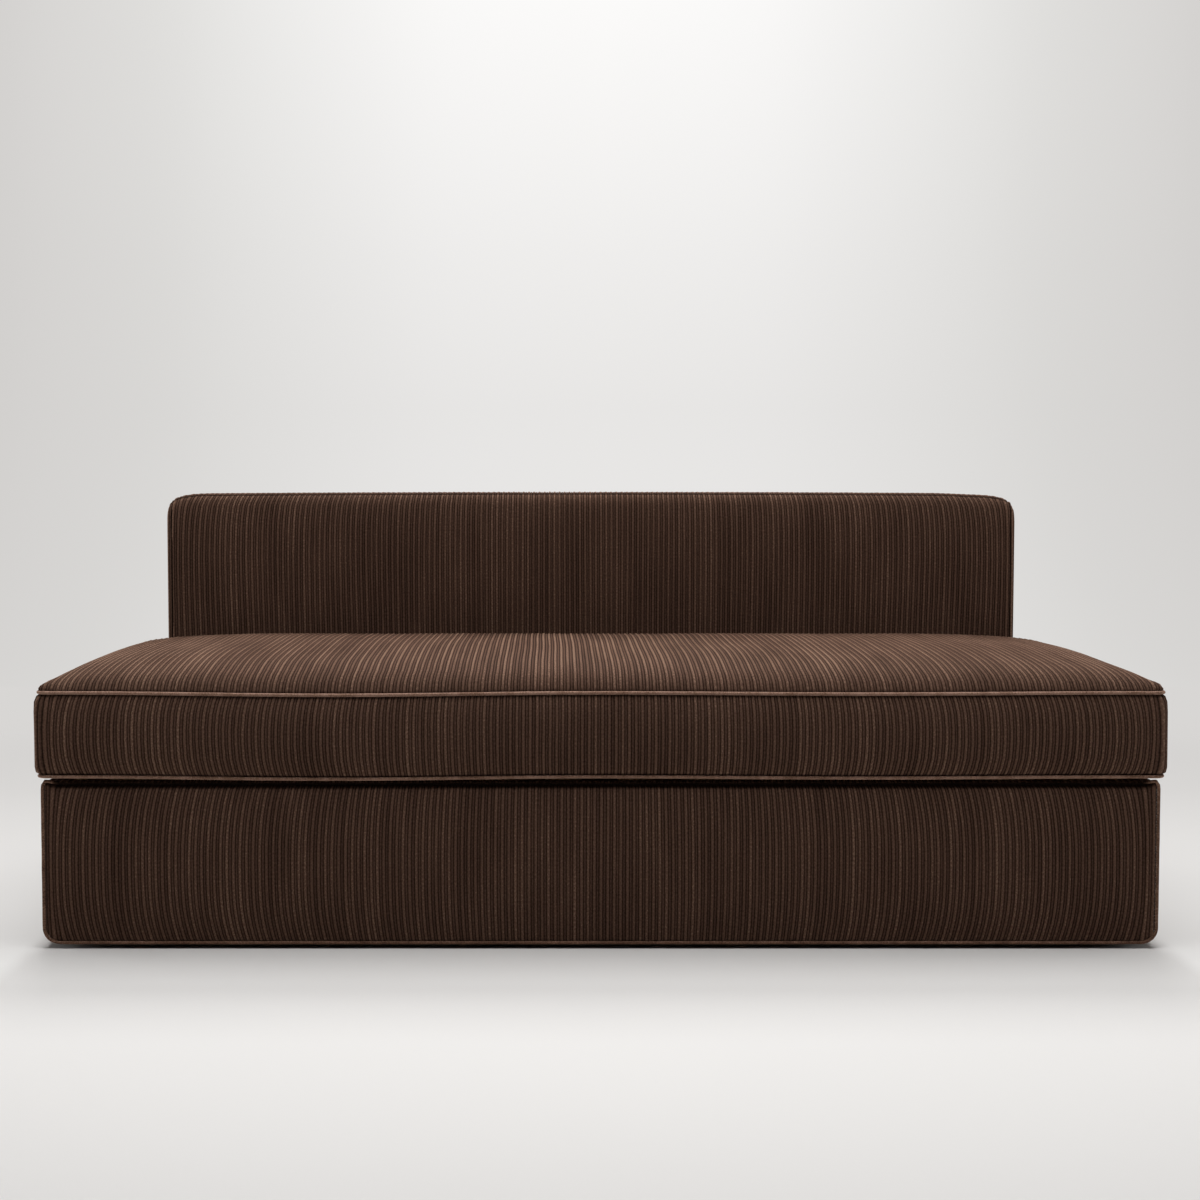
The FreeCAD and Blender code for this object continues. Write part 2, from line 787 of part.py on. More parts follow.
# Wooden frame inside the backrest
stile_z = (back_low, f"{frame_top} - {back_low}")
frame_y = (frame_front, "back_frame_thickness")
for side, sign in (("left", -1), ("right", 1)):
    x = (on_side(sign, f"{frame_end} - back_stile_width", "back_stile_width"), "back_stile_width")
    bar = box(f"back_stile_bar_{side}", x, frame_y, stile_z)
    length = "( back_stile_width + 2 * cut_overrun )"
    start = on_side(sign, f"{frame_end} - back_stile_width - cut_overrun", length)
    bore = "pin_radius + 2 * running_fit + bush_wall"
    drill = rod(f"stile_drill_{side}", bore, length, start, pivot_y, pivot_z)
    keep(cut(f"back_stile_{side}", bar, drill), f"back_stile_{side}")
rail_half = f"( {frame_end} - back_stile_width )"
rail_x = (f"0 - {rail_half}", f"{rail_half} * 2")
keep(box("back_foot_rail", rail_x, frame_y, (back_low, "back_rail_height")), "back_foot_rail")
top_z = (f"{frame_top} - back_rail_height", "back_rail_height")
keep(box("back_top_rail", rail_x, frame_y, top_z), "back_top_rail")
centre_x = ("0 - back_stile_width / 2", "back_stile_width")
centre_z = (f"{back_low} + back_rail_height", f"{frame_top} - {back_low} - 2 * back_rail_height")
keep(box("back_stile_centre", centre_x, frame_y, centre_z), "back_stile_centre")


# Soft backrest: a padded block with round foot, tight rounded top and rounded ends
def back_section(x, inset, crown):
    """One section of the backrest at x, drawn in by inset on every side."""
    front = number(back_front) + inset
    rear = number(back_rear) - inset
    low = number(back_low) + inset
    high = number(back_top) - inset
    foot = number("back_foot_round") - inset
    brow = number("back_top_round") - inset
    slant = math.sqrt(0.5)

    def at(y, z):
        return Vector(x, y, z)

    def corner(y, z, radius, side, lift):
        """The middle of a corner's arc, for a corner centre at y, z."""
        return at(y + side * radius * slant, z + lift * radius * slant)

    middle_y = (front + rear) / 2
    middle_z = (low + high) / 2
    a = at(front + foot, low)
    b = at(rear - foot, low)
    c = at(rear, low + foot)
    d = at(rear, high - brow)
    e = at(rear - brow, high)
    f = at(front + brow, high)
    g = at(front, high - brow)
    i = at(front, low + foot)
    return Part.Wire(
        [
            Part.makeLine(a, b),
            Part.Arc(b, corner(rear - foot, low + foot, foot, 1, -1), c).toShape(),
            Part.makeLine(c, d),
            Part.Arc(d, corner(rear - brow, high - brow, brow, 1, 1), e).toShape(),
            Part.Arc(e, at(middle_y, high + crown), f).toShape(),
            Part.Arc(f, corner(front + brow, high - brow, brow, -1, 1), g).toShape(),
            Part.Arc(g, at(front - crown, middle_z), i).toShape(),
            Part.Arc(i, corner(front + foot, low + foot, foot, -1, -1), a).toShape(),
        ]
    )


def mirrored_sections(half_sections, section):
    """Sections from the left end to the right end, from those of the right half."""
    left = [section(-x, *rest) for x, *rest in half_sections]
    right = [section(x, *rest) for x, *rest in reversed(half_sections)]
    return left + right


end = number(back_width) / 2
end_round = number("back_end_round")
crown = number("back_crown")
run = number("back_crown_run")
end_shares = (0, 0.1, 0.4, 1)
least_crown_share = 0.2
half_sections = []
for share in end_shares:
    inset = end_round * (1 - math.sqrt(1 - (1 - share) ** 2))
    half_sections.append((end - end_round * share, inset, crown * least_crown_share))
half_sections.append((end - end_round - run, 0, crown))
back_block = doc.addObject("Part::Feature", "back_block")
back_block.Shape = Part.makeLoft(mirrored_sections(half_sections, back_section), True, True)
back_block.Placement = Placement()
hollow = box(
    "back_hollow",
    (f"0 - {frame_end} - rest_fit", f"{frame_end} * 2 + 2 * rest_fit"),
    (f"{frame_front} - rest_fit", "back_frame_thickness + 2 * rest_fit"),
    (f"{back_low} - cut_overrun", f"{frame_top} - {back_low} + rest_fit + cut_overrun"),
)
bores = []
for side, sign in (("left", -1), ("right", 1)):
    length = "( back_end_padding + cut_overrun * 2 )"
    start = on_side(sign, f"{frame_end} - cut_overrun", length)
    bore = "pin_radius + 2 * running_fit + bush_wall"
    bores.append(rod(f"back_bore_{side}", bore, length, start, pivot_y, pivot_z))
back_tools = fuse("back_tools", [hollow] + bores)
back_cushion = cut("back_cushion", back_block, back_tools)
back_cushion.Refine = False
keep(back_cushion, "back_cushion")


# Seat cushion: boxing that bows out, a plump crown, corners drawn in
def crown_share(distance):
    """How much of the crown is reached at a distance from the piping."""
    run = number("crown_run")
    left = max(0, 1 - distance / run)
    return (1 - left**crown_shares[0]) ** (1 / crown_shares[1])


crown_shares = (2, 2.6)
neck = number("cushion_neck_inset")
cushion_half = number(half_width) + number("cushion_overhang")
neck_half = cushion_half - neck
neck_front = number(cushion_front) + neck
neck_rear = number(cushion_rear) - neck
low_z = number(cushion_low)
high_z = number(cushion_high)
middle_z = (low_z + high_z) / 2
corner_radius = number("cushion_corner")
top_shares = ((0, 0), (0.012, 0.31), (0.05, 0.53), (0.2, 0.84), (0.5, 1))


def cushion_section(x, y_inset, tall_share, crown):
    """One section of the seat cushion at x."""
    front = neck_front + y_inset
    rear = neck_rear - y_inset
    low = middle_z + (low_z - middle_z) * tall_share
    high = middle_z + (high_z - middle_z) * tall_share
    deep = rear - front

    def at(y, z):
        return Vector(x, y, z)

    rise = [at(front + deep * u, high + crown * v) for u, v in top_shares]
    fall = [at(rear - deep * u, high + crown * v) for u, v in reversed(top_shares)]
    bow = neck * tall_share
    return Part.Wire(
        [
            Part.makeLine(at(rear, low), at(front, low)),
            Part.Arc(at(front, low), at(front - bow, middle_z), at(front, high)).toShape(),
            Part.Arc(rise[0], rise[1], rise[2]).toShape(),
            Part.Arc(rise[2], rise[3], rise[4]).toShape(),
            Part.Arc(fall[0], fall[1], fall[2]).toShape(),
            Part.Arc(fall[2], fall[3], fall[4]).toShape(),
            Part.Arc(at(rear, high), at(rear + bow, middle_z), at(rear, low)).toShape(),
        ]
    )


full_crown = number("crown_height")
least = number("crown_least")
end_bow_shares = ((1, 1, 0.3), (0.8, 0.5, 0.6), (0, 0, 1))
crown_run_shares = (0.012, 0.035, 0.07, 0.14, 0.28, 0.55, 1)
cushion_sections = []
for out_share, inset_share, tall_share in end_bow_shares:
    y_inset = corner_radius + neck * inset_share
    cushion_sections.append((neck_half + neck * out_share, y_inset, tall_share, least))
for distance_share in crown_run_shares:
    distance = distance_share * number("crown_run")
    turn = max(0, corner_radius - distance)
    y_inset = corner_radius - math.sqrt(corner_radius**2 - turn**2)
    height = full_crown * crown_share(distance)
    cushion_sections.append((neck_half - distance, y_inset, 1, height))
cushion = doc.addObject("Part::Feature", "seat_cushion")
cushion.Shape = Part.makeLoft(mirrored_sections(cushion_sections, cushion_section), True, True)
cushion.Placement = Placement()
keep(cushion, "seat_cushion")
keep(
    box(
        "cushion_zip",
        (f"0 - {zip_length} / 2", zip_length),
        (f"{cushion_rear} + rest_fit", "zip_thickness"),
        (f"( {cushion_low} + {cushion_high} - zip_width ) / 2", "zip_width"),
    ),
    "cushion_zip",
)

out = number("welt_radius") + number("rest_fit")
for name, level in (
    ("cushion_welt_low", low_z),
    ("cushion_welt_high", high_z),
):
    wire = loop_wire(
        -neck_half - out,
        neck_half + out,
        neck_front - out,
        neck_rear + out,
        corner_radius + out,
        corner_radius + out,
        lambda a, b: Vector(a, b, level),
    )
    keep(welt_loop(name, wire), name)

doc.recompute()
faulty = []
for item in doc.Objects:
    if "Invalid" in item.State or "Error" in item.State:
        faulty.append(item.Label)
for item in subparts:
    if item.Shape.isNull() or not item.Shape.isValid():
        faulty.append(item.Label)
if faulty:
    raise RuntimeError(f"these failed: {faulty}")

os.makedirs("parts", exist_ok=True)
for item in subparts:
    item.Shape.exportStep(f"parts/{item.Label}.step")
print(len(subparts), "sub-parts; the seat rolls out by", round(number(seat_travel), 2), "mm")
print("pivot y and z", round(number(pivot_y), 2), round(number(pivot_z), 2))
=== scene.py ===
# %% [markdown]
# # A corduroy sofa bed, dressed around its frame
#
# The frame already holds every piece at its real size: boards, rails, slats,
# runners, pivots and plain solids for the soft parts. This lesson sews the soft
# parts anew, rib by rib, and gives every other piece the finish of its material.
# Lengths are metres. X runs along the sofa, Y to the rear and Z up.

# %% Load the frame
import math

import bpy
import numpy as np
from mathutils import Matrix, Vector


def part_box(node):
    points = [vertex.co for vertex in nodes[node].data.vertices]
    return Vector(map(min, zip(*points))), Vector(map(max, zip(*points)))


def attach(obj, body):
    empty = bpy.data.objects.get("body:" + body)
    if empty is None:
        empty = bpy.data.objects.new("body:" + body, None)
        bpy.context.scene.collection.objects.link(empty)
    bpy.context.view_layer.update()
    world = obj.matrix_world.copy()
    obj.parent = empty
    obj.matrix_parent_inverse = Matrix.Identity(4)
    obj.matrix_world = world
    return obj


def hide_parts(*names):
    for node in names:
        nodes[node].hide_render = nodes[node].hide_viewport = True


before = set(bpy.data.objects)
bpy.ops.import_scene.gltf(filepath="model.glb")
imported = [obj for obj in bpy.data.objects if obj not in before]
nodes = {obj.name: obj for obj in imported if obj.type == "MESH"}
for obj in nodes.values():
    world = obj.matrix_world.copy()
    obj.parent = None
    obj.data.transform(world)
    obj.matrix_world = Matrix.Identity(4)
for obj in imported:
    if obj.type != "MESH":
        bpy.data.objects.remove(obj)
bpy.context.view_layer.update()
mm = 0.001

# %% [markdown]
# ## The camera
#
# The photograph looks straight at the front from a little to the left of the
# middle, just under the top of the back. Its picture is 1200 pixels wide, and its
# focal length in pixels gives the lens on a 36 mm sensor. A small sideways shift
# brings the sofa to the middle without turning the camera.

# %% Camera
photo_width_px = 1200
focal_px = 1787
tilt_down_deg = 2.85
camera_data = bpy.data.cameras.new("studio_camera")
camera_data.sensor_width = 36
camera_data.lens = focal_px / photo_width_px * camera_data.sensor_width
camera_data.shift_x = 0.0421
camera = bpy.data.objects.new("studio_camera", camera_data)
camera.location = (-0.095, -3.785, 0.816)
camera.rotation_euler = (math.radians(90 - tilt_down_deg), 0, 0)
bpy.context.scene.collection.objects.link(camera)
bpy.context.scene.camera = camera
print("lens", round(camera_data.lens, 2), "mm")

# %% [markdown]
# ## Colours and nodes
#
# Colours are written as on a colour card, in sRGB, and turned to the linear
# values that light adds up in. One helper adds a node with its settings and its
# links, so that each material below reads as a short list.


# %% Colour and node helpers
def linear(card):
    """Linear red, green, blue and alpha from an sRGB colour such as #5c4439."""
    parts = [int(card[n : n + 2], 16) / 255 for n in (1, 3, 5)]
    straight = [p / 12.92 if p <= 0.04045 else ((p + 0.055) / 1.055) ** 2.4 for p in parts]
    return (*straight, 1)


def add(tree, kind, links=None, **settings):
    """Adds a shader node. settings set its own values; links fill its sockets, from a
    socket, from a node's first output or with plain values."""
    node = tree.nodes.new("ShaderNode" + kind)
    for name, value in settings.items():
        setattr(node, name, value)
    for socket, value in (links or {}).items():
        if isinstance(value, bpy.types.Node):
            value = value.outputs[0]
        if isinstance(value, bpy.types.NodeSocket):
            tree.links.new(value, node.inputs[socket])
        else:
            node.inputs[socket].default_value = value
    return node


def new_material(name, constants=None):
    """A material with those constants on its shader, its node tree and its shader."""
    material = bpy.data.materials.new(name)
    material.use_nodes = True
    tree = material.node_tree
    shader = tree.nodes["Principled BSDF"]
    for socket, value in (constants or {}).items():
        shader.inputs[socket].default_value = value
    return material, tree, shader


def tint(node, stops):
    """Fills a colour ramp with stops: place and colour."""
    ramp = node.color_ramp
    while len(ramp.elements) < len(stops):
        ramp.elements.new(0.5)
    for element, (place, card) in zip(ramp.elements, stops):
        element.position = place
        element.color = linear(card)
    return node


def surface(tree, shader, tone, tones, height, strength, depth):
    """Colours a shader by its tone and, where it has a relief, roughens it."""
    ramp = tint(add(tree, "ValToRGB", {"Fac": tone}), tones)
    tree.links.new(ramp.outputs[0], shader.inputs["Base Color"])
    if depth:
        bump = add(tree, "Bump", {"Height": height, "Strength": strength, "Distance": depth})
        tree.links.new(bump.outputs[0], shader.inputs["Normal"])


print("mid grey is", round(linear("#808080")[0], 3), "of full light")

# %% [markdown]
# ## The studio
#
# A pale floor, a pale wall far behind it and soft light from above. The wall
# glows by itself, brighter high in the middle: painted light, as of a lit studio
# wall. The floor is plain and matt, so under and before the sofa it keeps the sofa's
# shadow; beside and behind it the floor glows too, painted light that lifts the shadow.

# %% Floor and wall
floor_half = 9.0
wall_y = 7.0
wall_height = 7.0
bend = 2.5
bend_steps = 16


def sweep(name, profile, half_width):
    """A sheet from points (y, z) drawn out along X."""
    points = [(x, y, z) for x in (-half_width, half_width) for y, z in profile]
    count = len(profile)
    faces = [(n, count + n, count + n + 1, n + 1) for n in range(count - 1)]
    mesh = bpy.data.meshes.new(name)
    mesh.from_pydata(points, [], faces)
    mesh.shade_smooth()
    piece = bpy.data.objects.new(name, mesh)
    bpy.context.scene.collection.objects.link(piece)
    return piece


floor = sweep("studio_floor", [(-floor_half, 0), (wall_y - bend, 0)], floor_half)
turns = [math.pi / 2 * n / bend_steps for n in range(bend_steps + 1)]
wall_profile = [
    (wall_y - bend + bend * math.sin(t), bend - bend * math.cos(t)) for t in turns
] + [(wall_y, wall_height)]
wall = sweep("studio_wall", wall_profile, floor_half)
print("floor", floor.dimensions[:], "wall", wall.dimensions[:])

# %% [markdown]
# Painted plaster on the floor is matt: all it does for the eye is to take the
# shadow. Beside the sofa and behind it the floor glows as the wall does, so that the
# two meet without a line. This glow is painted light: it lifts the sofa's shadow
# beside and behind it, and it is brightest at the front and dimmer behind. Under the
# sofa and before it lies a plain rectangle, and how far a place lies outside that
# decides how much it glows.

# %% Floor finish
plain_centre = (0, -2.2, 0)
plain_half = (1.04, 2.75, 0)
fade_length = 2.4
nearest_tone_y = -0.6
farthest_tone_y = 3.4
paint = {"Roughness": 0.9, "Specular IOR Level": 0.1, "Base Color": linear("#e3e1df")}
floor_paint_and_glow, tree, shader = new_material("matt_studio_paint_and_glow", paint)
place = add(tree, "TexCoord").outputs["Object"]
reach = place
for operation, value in (
    ("SUBTRACT", plain_centre),
    ("ABSOLUTE", (0, 0, 0)),
    ("SUBTRACT", plain_half),
    ("MAXIMUM", (0, 0, 0)),
):
    links = {0: reach, 1: value}
    reach = add(tree, "VectorMath", links, operation=operation)
reach = add(tree, "VectorMath", {0: reach}, operation="LENGTH").outputs["Value"]
beyond = add(tree, "Math", {0: reach, 1: fade_length}, operation="DIVIDE")
far = add(tree, "ValToRGB", {"Fac": beyond})
far_stops = [(0, "#000000"), (0.014, "#c6c6c6"), (0.08, "#d6d6d6"), (0.3, "#e6e6e6")]
tint(far, far_stops + [(1, "#ffffff")])
# Painted light: the floor's glow is brightest at the front and dimmer behind.
depth = add(tree, "SeparateXYZ", {0: place}).outputs["Y"]
links = {"Value": depth, "From Min": nearest_tone_y, "From Max": farthest_tone_y}
depth = add(tree, "MapRange", links)
floor_glow_tones = add(tree, "ValToRGB", {"Fac": depth})
glow_stops = [(0, "#eeedeb"), (0.05, "#dfdddb"), (0.31, "#dad8d6"), (0.5, "#d4d2d0")]
tint(floor_glow_tones, glow_stops + [(0.95, "#d8d6d4")])
glow = add(tree, "Emission", {"Color": floor_glow_tones, "Strength": 1.0})
blend = add(tree, "MixShader", {0: far, 1: shader, 2: glow})
tree.links.new(blend.outputs[0], tree.nodes["Material Output"].inputs["Surface"])
floor.data.materials.append(floor_paint_and_glow)
print("floor", floor_paint_and_glow.name, "with", len(tree.nodes), "nodes")

# %% [markdown]
# The wall's glow is painted light, brightest high in the middle: one ramp follows
# the place across, another the height, and the second decides how much of the first shows.

# %% Wall finish
beam_centre = 0.22
beam_half = 5.0
beam_foot = 0.8
beam_top = 3.9
wall_glow, tree, shader = new_material("lit_studio_wall")
place = add(tree, "TexCoord").outputs["Object"]
parts = add(tree, "SeparateXYZ", {0: place}).outputs
aside = parts["X"]
for operation, value in (("SUBTRACT", beam_centre), ("ABSOLUTE", 0), ("DIVIDE", beam_half)):
    aside = add(tree, "Math", {0: aside, 1: value}, operation=operation)
beam = add(tree, "ValToRGB", {"Fac": aside})
beam.color_ramp.interpolation = "CARDINAL"
beam_stops = [(0, "#fcfbfa"), (0.24, "#f7f6f5"), (0.48, "#e4e3e1"), (0.7, "#d5d3d1")]
links = {"Value": parts["Z"], "From Min": beam_foot, "From Max": beam_top}
height = add(tree, "MapRange", links)
beam_share = add(tree, "ValToRGB", {"Fac": height})
share_stops = [(0, "#bcbcbc"), (0.2, "#bcbcbc"), (0.5, "#d6d6d6"), (1, "#ffffff")]
sides = add(tree, "ValToRGB", {"Fac": height})
side_stops = [(0, "#d0cecc"), (0.5, "#d0cecc"), (1, "#d5d3d1")]
links = {
    "Fac": tint(beam_share, share_stops),
    "Color1": tint(sides, side_stops),
    "Color2": tint(beam, beam_stops + [(1, "#c8c6c4")]),
}
wall_colour = add(tree, "MixRGB", links)
glow = add(tree, "Emission", {"Color": wall_colour, "Strength": 1.0})
tree.links.new(glow.outputs[0], tree.nodes["Material Output"].inputs["Surface"])
tree.nodes.remove(shader)
wall.data.materials.append(wall_glow)
print("wall", wall_glow.name, "with", len(tree.nodes), "nodes")

# %% [markdown]
# Three broad lamps hang in a row: before, over and behind the sofa. The rear two
# make the seat bright and throw a soft shadow towards the camera, and the front one
# just opens the upright fronts. Two more stand low beside the sofa: they draw a thin
# line of light down its corners. The air round the studio lights nothing. It is pale
# only where the camera sees it, or where metal mirrors it.

# %% Light
air_glow = 0.75
world = bpy.data.worlds.new("studio_air")
bpy.context.scene.world = world
world.use_nodes = True
tree = world.node_tree
rays = add(tree, "LightPath").outputs
sight = rays["Is Camera Ray"]
for kind in ("Is Glossy Ray", "Is Transmission Ray"):
    sight = add(tree, "Math", {0: sight, 1: rays[kind]}, operation="MAXIMUM")
strength = add(tree, "MapRange", {"Value": sight, "To Min": 0.0, "To Max": air_glow})
tree.nodes["Background"].inputs["Color"].default_value = linear("#f5f4f3")
tree.links.new(strength.outputs[0], tree.nodes["Background"].inputs["Strength"])


def softbox(name, place, turned, size, power):
    """A broad area lamp. turned is in degrees, from looking straight down."""
    data = bpy.data.lights.new(name, "AREA")
    data.shape = "RECTANGLE"
    data.size, data.size_y = size
    data.energy = power
    lamp = bpy.data.objects.new(name, data)
    lamp.location = place
    lamp.rotation_euler = [math.radians(angle) for angle in turned]
    lamp.visible_camera = False
    bpy.context.scene.collection.objects.link(lamp)


softbox("rear_softbox", (0, 1.7, 3.0), (-28, 0, 0), (3.6, 1.2), 73)
softbox("over_softbox", (0, 0.15, 3.0), (0, 0, 0), (3.6, 1.2), 42)
softbox("front_softbox", (0, -1.1, 3.0), (8, 0, 0), (3.6, 1.2), 60)
softbox("left_softbox", (-3.2, 0.5, 0.4), (0, -90, 0), (0.6, 1.4), 24)
softbox("right_softbox", (3.2, 0.5, 0.4), (0, 90, 0), (0.6, 1.4), 24)
bpy.context.scene.view_settings.view_transform = "Standard"
print(len(bpy.data.lights), "lamps")

# %% [markdown]
# ## Corduroy
#
# Corduroy is a cotton weave with cut pile in raised ribs, the wales, over a flat
# ground. This one alternates one wide wale with a thin one. The real cloth could be
# faked with a bump map, but its ribs are big enough to break the outline and to
# shade each other, so they are modelled: every width of cloth is a grid whose
# columns run along the wales. Cut pile isn't perfectly even, so no two wales are
# quite alike.

# %% Wales
wale_repeat = 12.15 * mm
pile_height = 2.9 * mm
wale_shares = (0.0, 0.05, 0.14, 0.27, 0.4, 0.48, 0.54, 0.63, 0.76, 0.89)
pile_shares = (0.0, 0.72, 0.94, 1.0, 0.94, 0.7, 0.0, 0.6, 0.78, 0.58)
width_play = 0.07
height_play = 0.12


def wales(length, seed):
    """Places across a width of cloth, and the pile's height there as a share."""
    chance = np.random.default_rng(seed)
    count = max(2, round(length / wale_repeat))
    widths = 1 + width_play * chance.uniform(-1, 1, count)
    starts = np.concatenate([[0], np.cumsum(widths)[:-1]])
    across = (starts[:, None] + np.array(wale_shares) * widths[:, None]).ravel()
    tall = 1 + height_play * chance.uniform(-1, 0, (count, 1))
    heights = (tall * np.array(pile_shares)).ravel()
    across = np.append(across, widths.sum()) * length / widths.sum()
    return across, np.append(heights, 0)


def drift(u, v, across, along, seed):
    """Slow unevenness of about -1 to 1 over the cloth, with those wavelengths."""
    chance = np.random.default_rng(seed)
    total = 0
    waves = 6
    for _ in range(waves):
        ku, kv = chance.uniform(0.5, 1.3, 2) * (2 * math.pi / across, 2 * math.pi / along)
        total = total + np.sin(ku * u + chance.choice([-1, 1]) * kv * v + chance.uniform(0, 7))
    return total / math.sqrt(2 * waves)


across, heights = wales(1.0, 1)
print("one metre of cloth holds", (len(across) - 1) // len(wale_shares), "repeats")

# %% [markdown]
# Corduroy's pile drinks light: its shader is rough, with a low specular level, and
# the grooves between the wales are painted darker than the tops of the ribs, partly
# the cloth's darker ground and partly painted shade in the grooves. Cut fibres
# stand up and catch light at a glancing angle, which is sheen: on the seat, seen
# almost edge on, it lifts the brown to a dusty tan. The shader's own sheen lifts the
# whole cloth, and Layer Weight paints more sheen into the colour, lifting the tips of
# the pile over the grooves. The fibres are 0.02 mm thick and can't show here, so the
# nap is drawn as tufts of 2.4 mm, over patches as wide as a hand and long streaks
# that follow the wales.

# %% Corduroy finish
tuft = 2.4 * mm
nap_patch = 90 * mm
nap_sizes = {
    "tufts": (tuft, 1.8 * tuft, 1.5),
    "patches": (nap_patch, 3 * nap_patch, 4.0),
    "streaks": (1.7 * wale_repeat, 40 * wale_repeat, 2.0),
}
nap_shares = {"tufts": 0.55, "patches": 0.25, "streaks": 0.25}
full_tone = 0.87
mean_pile = 0.5
height_weight = 0.6
painted_sheen_weight = 0.26
pile_constants = {
    "Roughness": 0.95,
    "Specular IOR Level": 0.04,
    "Sheen Weight": 0.1,
    "Sheen Roughness": 0.45,
    "Sheen Tint": linear("#ac846c"),
}


def corduroy(name, tones, tilt=0.0):
    """Cotton corduroy. tilt turns the fine lines of the nap, as on bias-cut piping."""
    material, tree, shader = new_material(name, pile_constants)
    cloth = add(tree, "Attribute", attribute_name="cloth").outputs["Vector"]
    parts = add(tree, "SeparateXYZ", {0: cloth}).outputs
    flat = add(tree, "CombineXYZ", {"X": parts["X"], "Y": parts["Y"]})
    # The tone follows the pile's height. The grooves are painted dark, partly the cloth's ground
    # and partly painted shade. At a glancing angle the rib tips are painted lighter still, which is
    # painted sheen.
    facing = add(tree, "LayerWeight", {"Blend": 0.5}).outputs["Facing"]
    links = {0: facing, 1: painted_sheen_weight, 2: height_weight}
    weight = add(tree, "Math", links, operation="MULTIPLY_ADD")
    raised = add(tree, "Math", {0: parts["Z"], 1: mean_pile}, operation="SUBTRACT")
    level = full_tone - height_weight * (1 - mean_pile) - sum(nap_shares.values()) / 2
    tone = add(tree, "Math", {0: raised, 1: weight, 2: level}, operation="MULTIPLY_ADD")
    noises = {}
    for label, (across, along, detail) in nap_sizes.items():
        scale = (1 / across, 1 / along, 1)
        links = {"Vector": flat, "Rotation": (0, 0, tilt), "Scale": scale}
        place = add(tree, "Mapping", links)
        links = {"Vector": place, "Scale": 1.0, "Detail": detail, "Roughness": 0.6}
        noises[label] = add(tree, "TexNoise", links)
        links = {0: noises[label], 1: nap_shares[label], 2: tone}
        tone = add(tree, "Math", links, operation="MULTIPLY_ADD")
    surface(tree, shader, tone, tones, noises["tufts"], 0.6, 0.5 * mm)
    return material


# The darkest stops are the grooves, partly painted shade. The lightest are reached mostly by pile
# tips at a glancing angle, which is painted sheen.
brown_tones = [
    (0.15, "#100a07"),
    (0.27, "#1e130e"),
    (0.48, "#36261e"),
    (0.67, "#4c382e"),
    (0.88, "#644c3f"),
    (0.95, "#7d6353"),
]
piping_tones = [(0.26, "#150d0a"), (0.52, "#412e25"), (0.7, "#765a4a"), (0.87, "#a18272")]
ribbed_brown = corduroy("brown_corduroy", brown_tones)
piping_brown = corduroy("bias_cut_brown_corduroy", piping_tones, tilt=0.9)
print("finishes", ribbed_brown.name, piping_brown.name)

# %% [markdown]
# ## Sewing covers
#
# A cover is made of panels that meet in seams. `Cover` collects grids of points,
# sinks the grooves along each grid's own normals, joins the rims of neighbouring
# panels with a narrow strip of triangles, and turns it all into one closed mesh.
# The attribute `cloth` keeps, for the finish, each point's place across and along
# the cloth and the height of its pile.


# %% Shapes of cloth
def directions(places):
    """Unit normals of a grid of points, rows by columns."""
    along = np.gradient(places, axis=0)
    across = np.gradient(places, axis=1)
    normal = np.cross(across, along)
    return normal / np.maximum(np.linalg.norm(normal, axis=2, keepdims=True), 1e-12)


def ease(share):
    """A smooth step from 0 to 1."""
    share = np.clip(share, 0, 1)
    return share * share * (3 - 2 * share)


def corner(distance, radius):
    """How far a round corner has drawn in, at a distance from its end."""
    reach = np.clip(distance, 0, radius)
    return radius - np.sqrt(np.maximum(radius**2 - (radius - reach) ** 2, 0))


print("a corner of 16 mm draws in", round(corner(2, 16), 1), "mm at 2 mm from its end")

# %% [markdown]
# `put` adds points, `weave` fills a grid of them with faces, `panel` lays a ribbed
# width of cloth, and `sew` walks round two rims together and joins them point by
# point. `make` turns the cover into a mesh. The rear panel is sewn like the front one
# and the left side like the right one, so `make` can swing a cover round by half a
# turn.


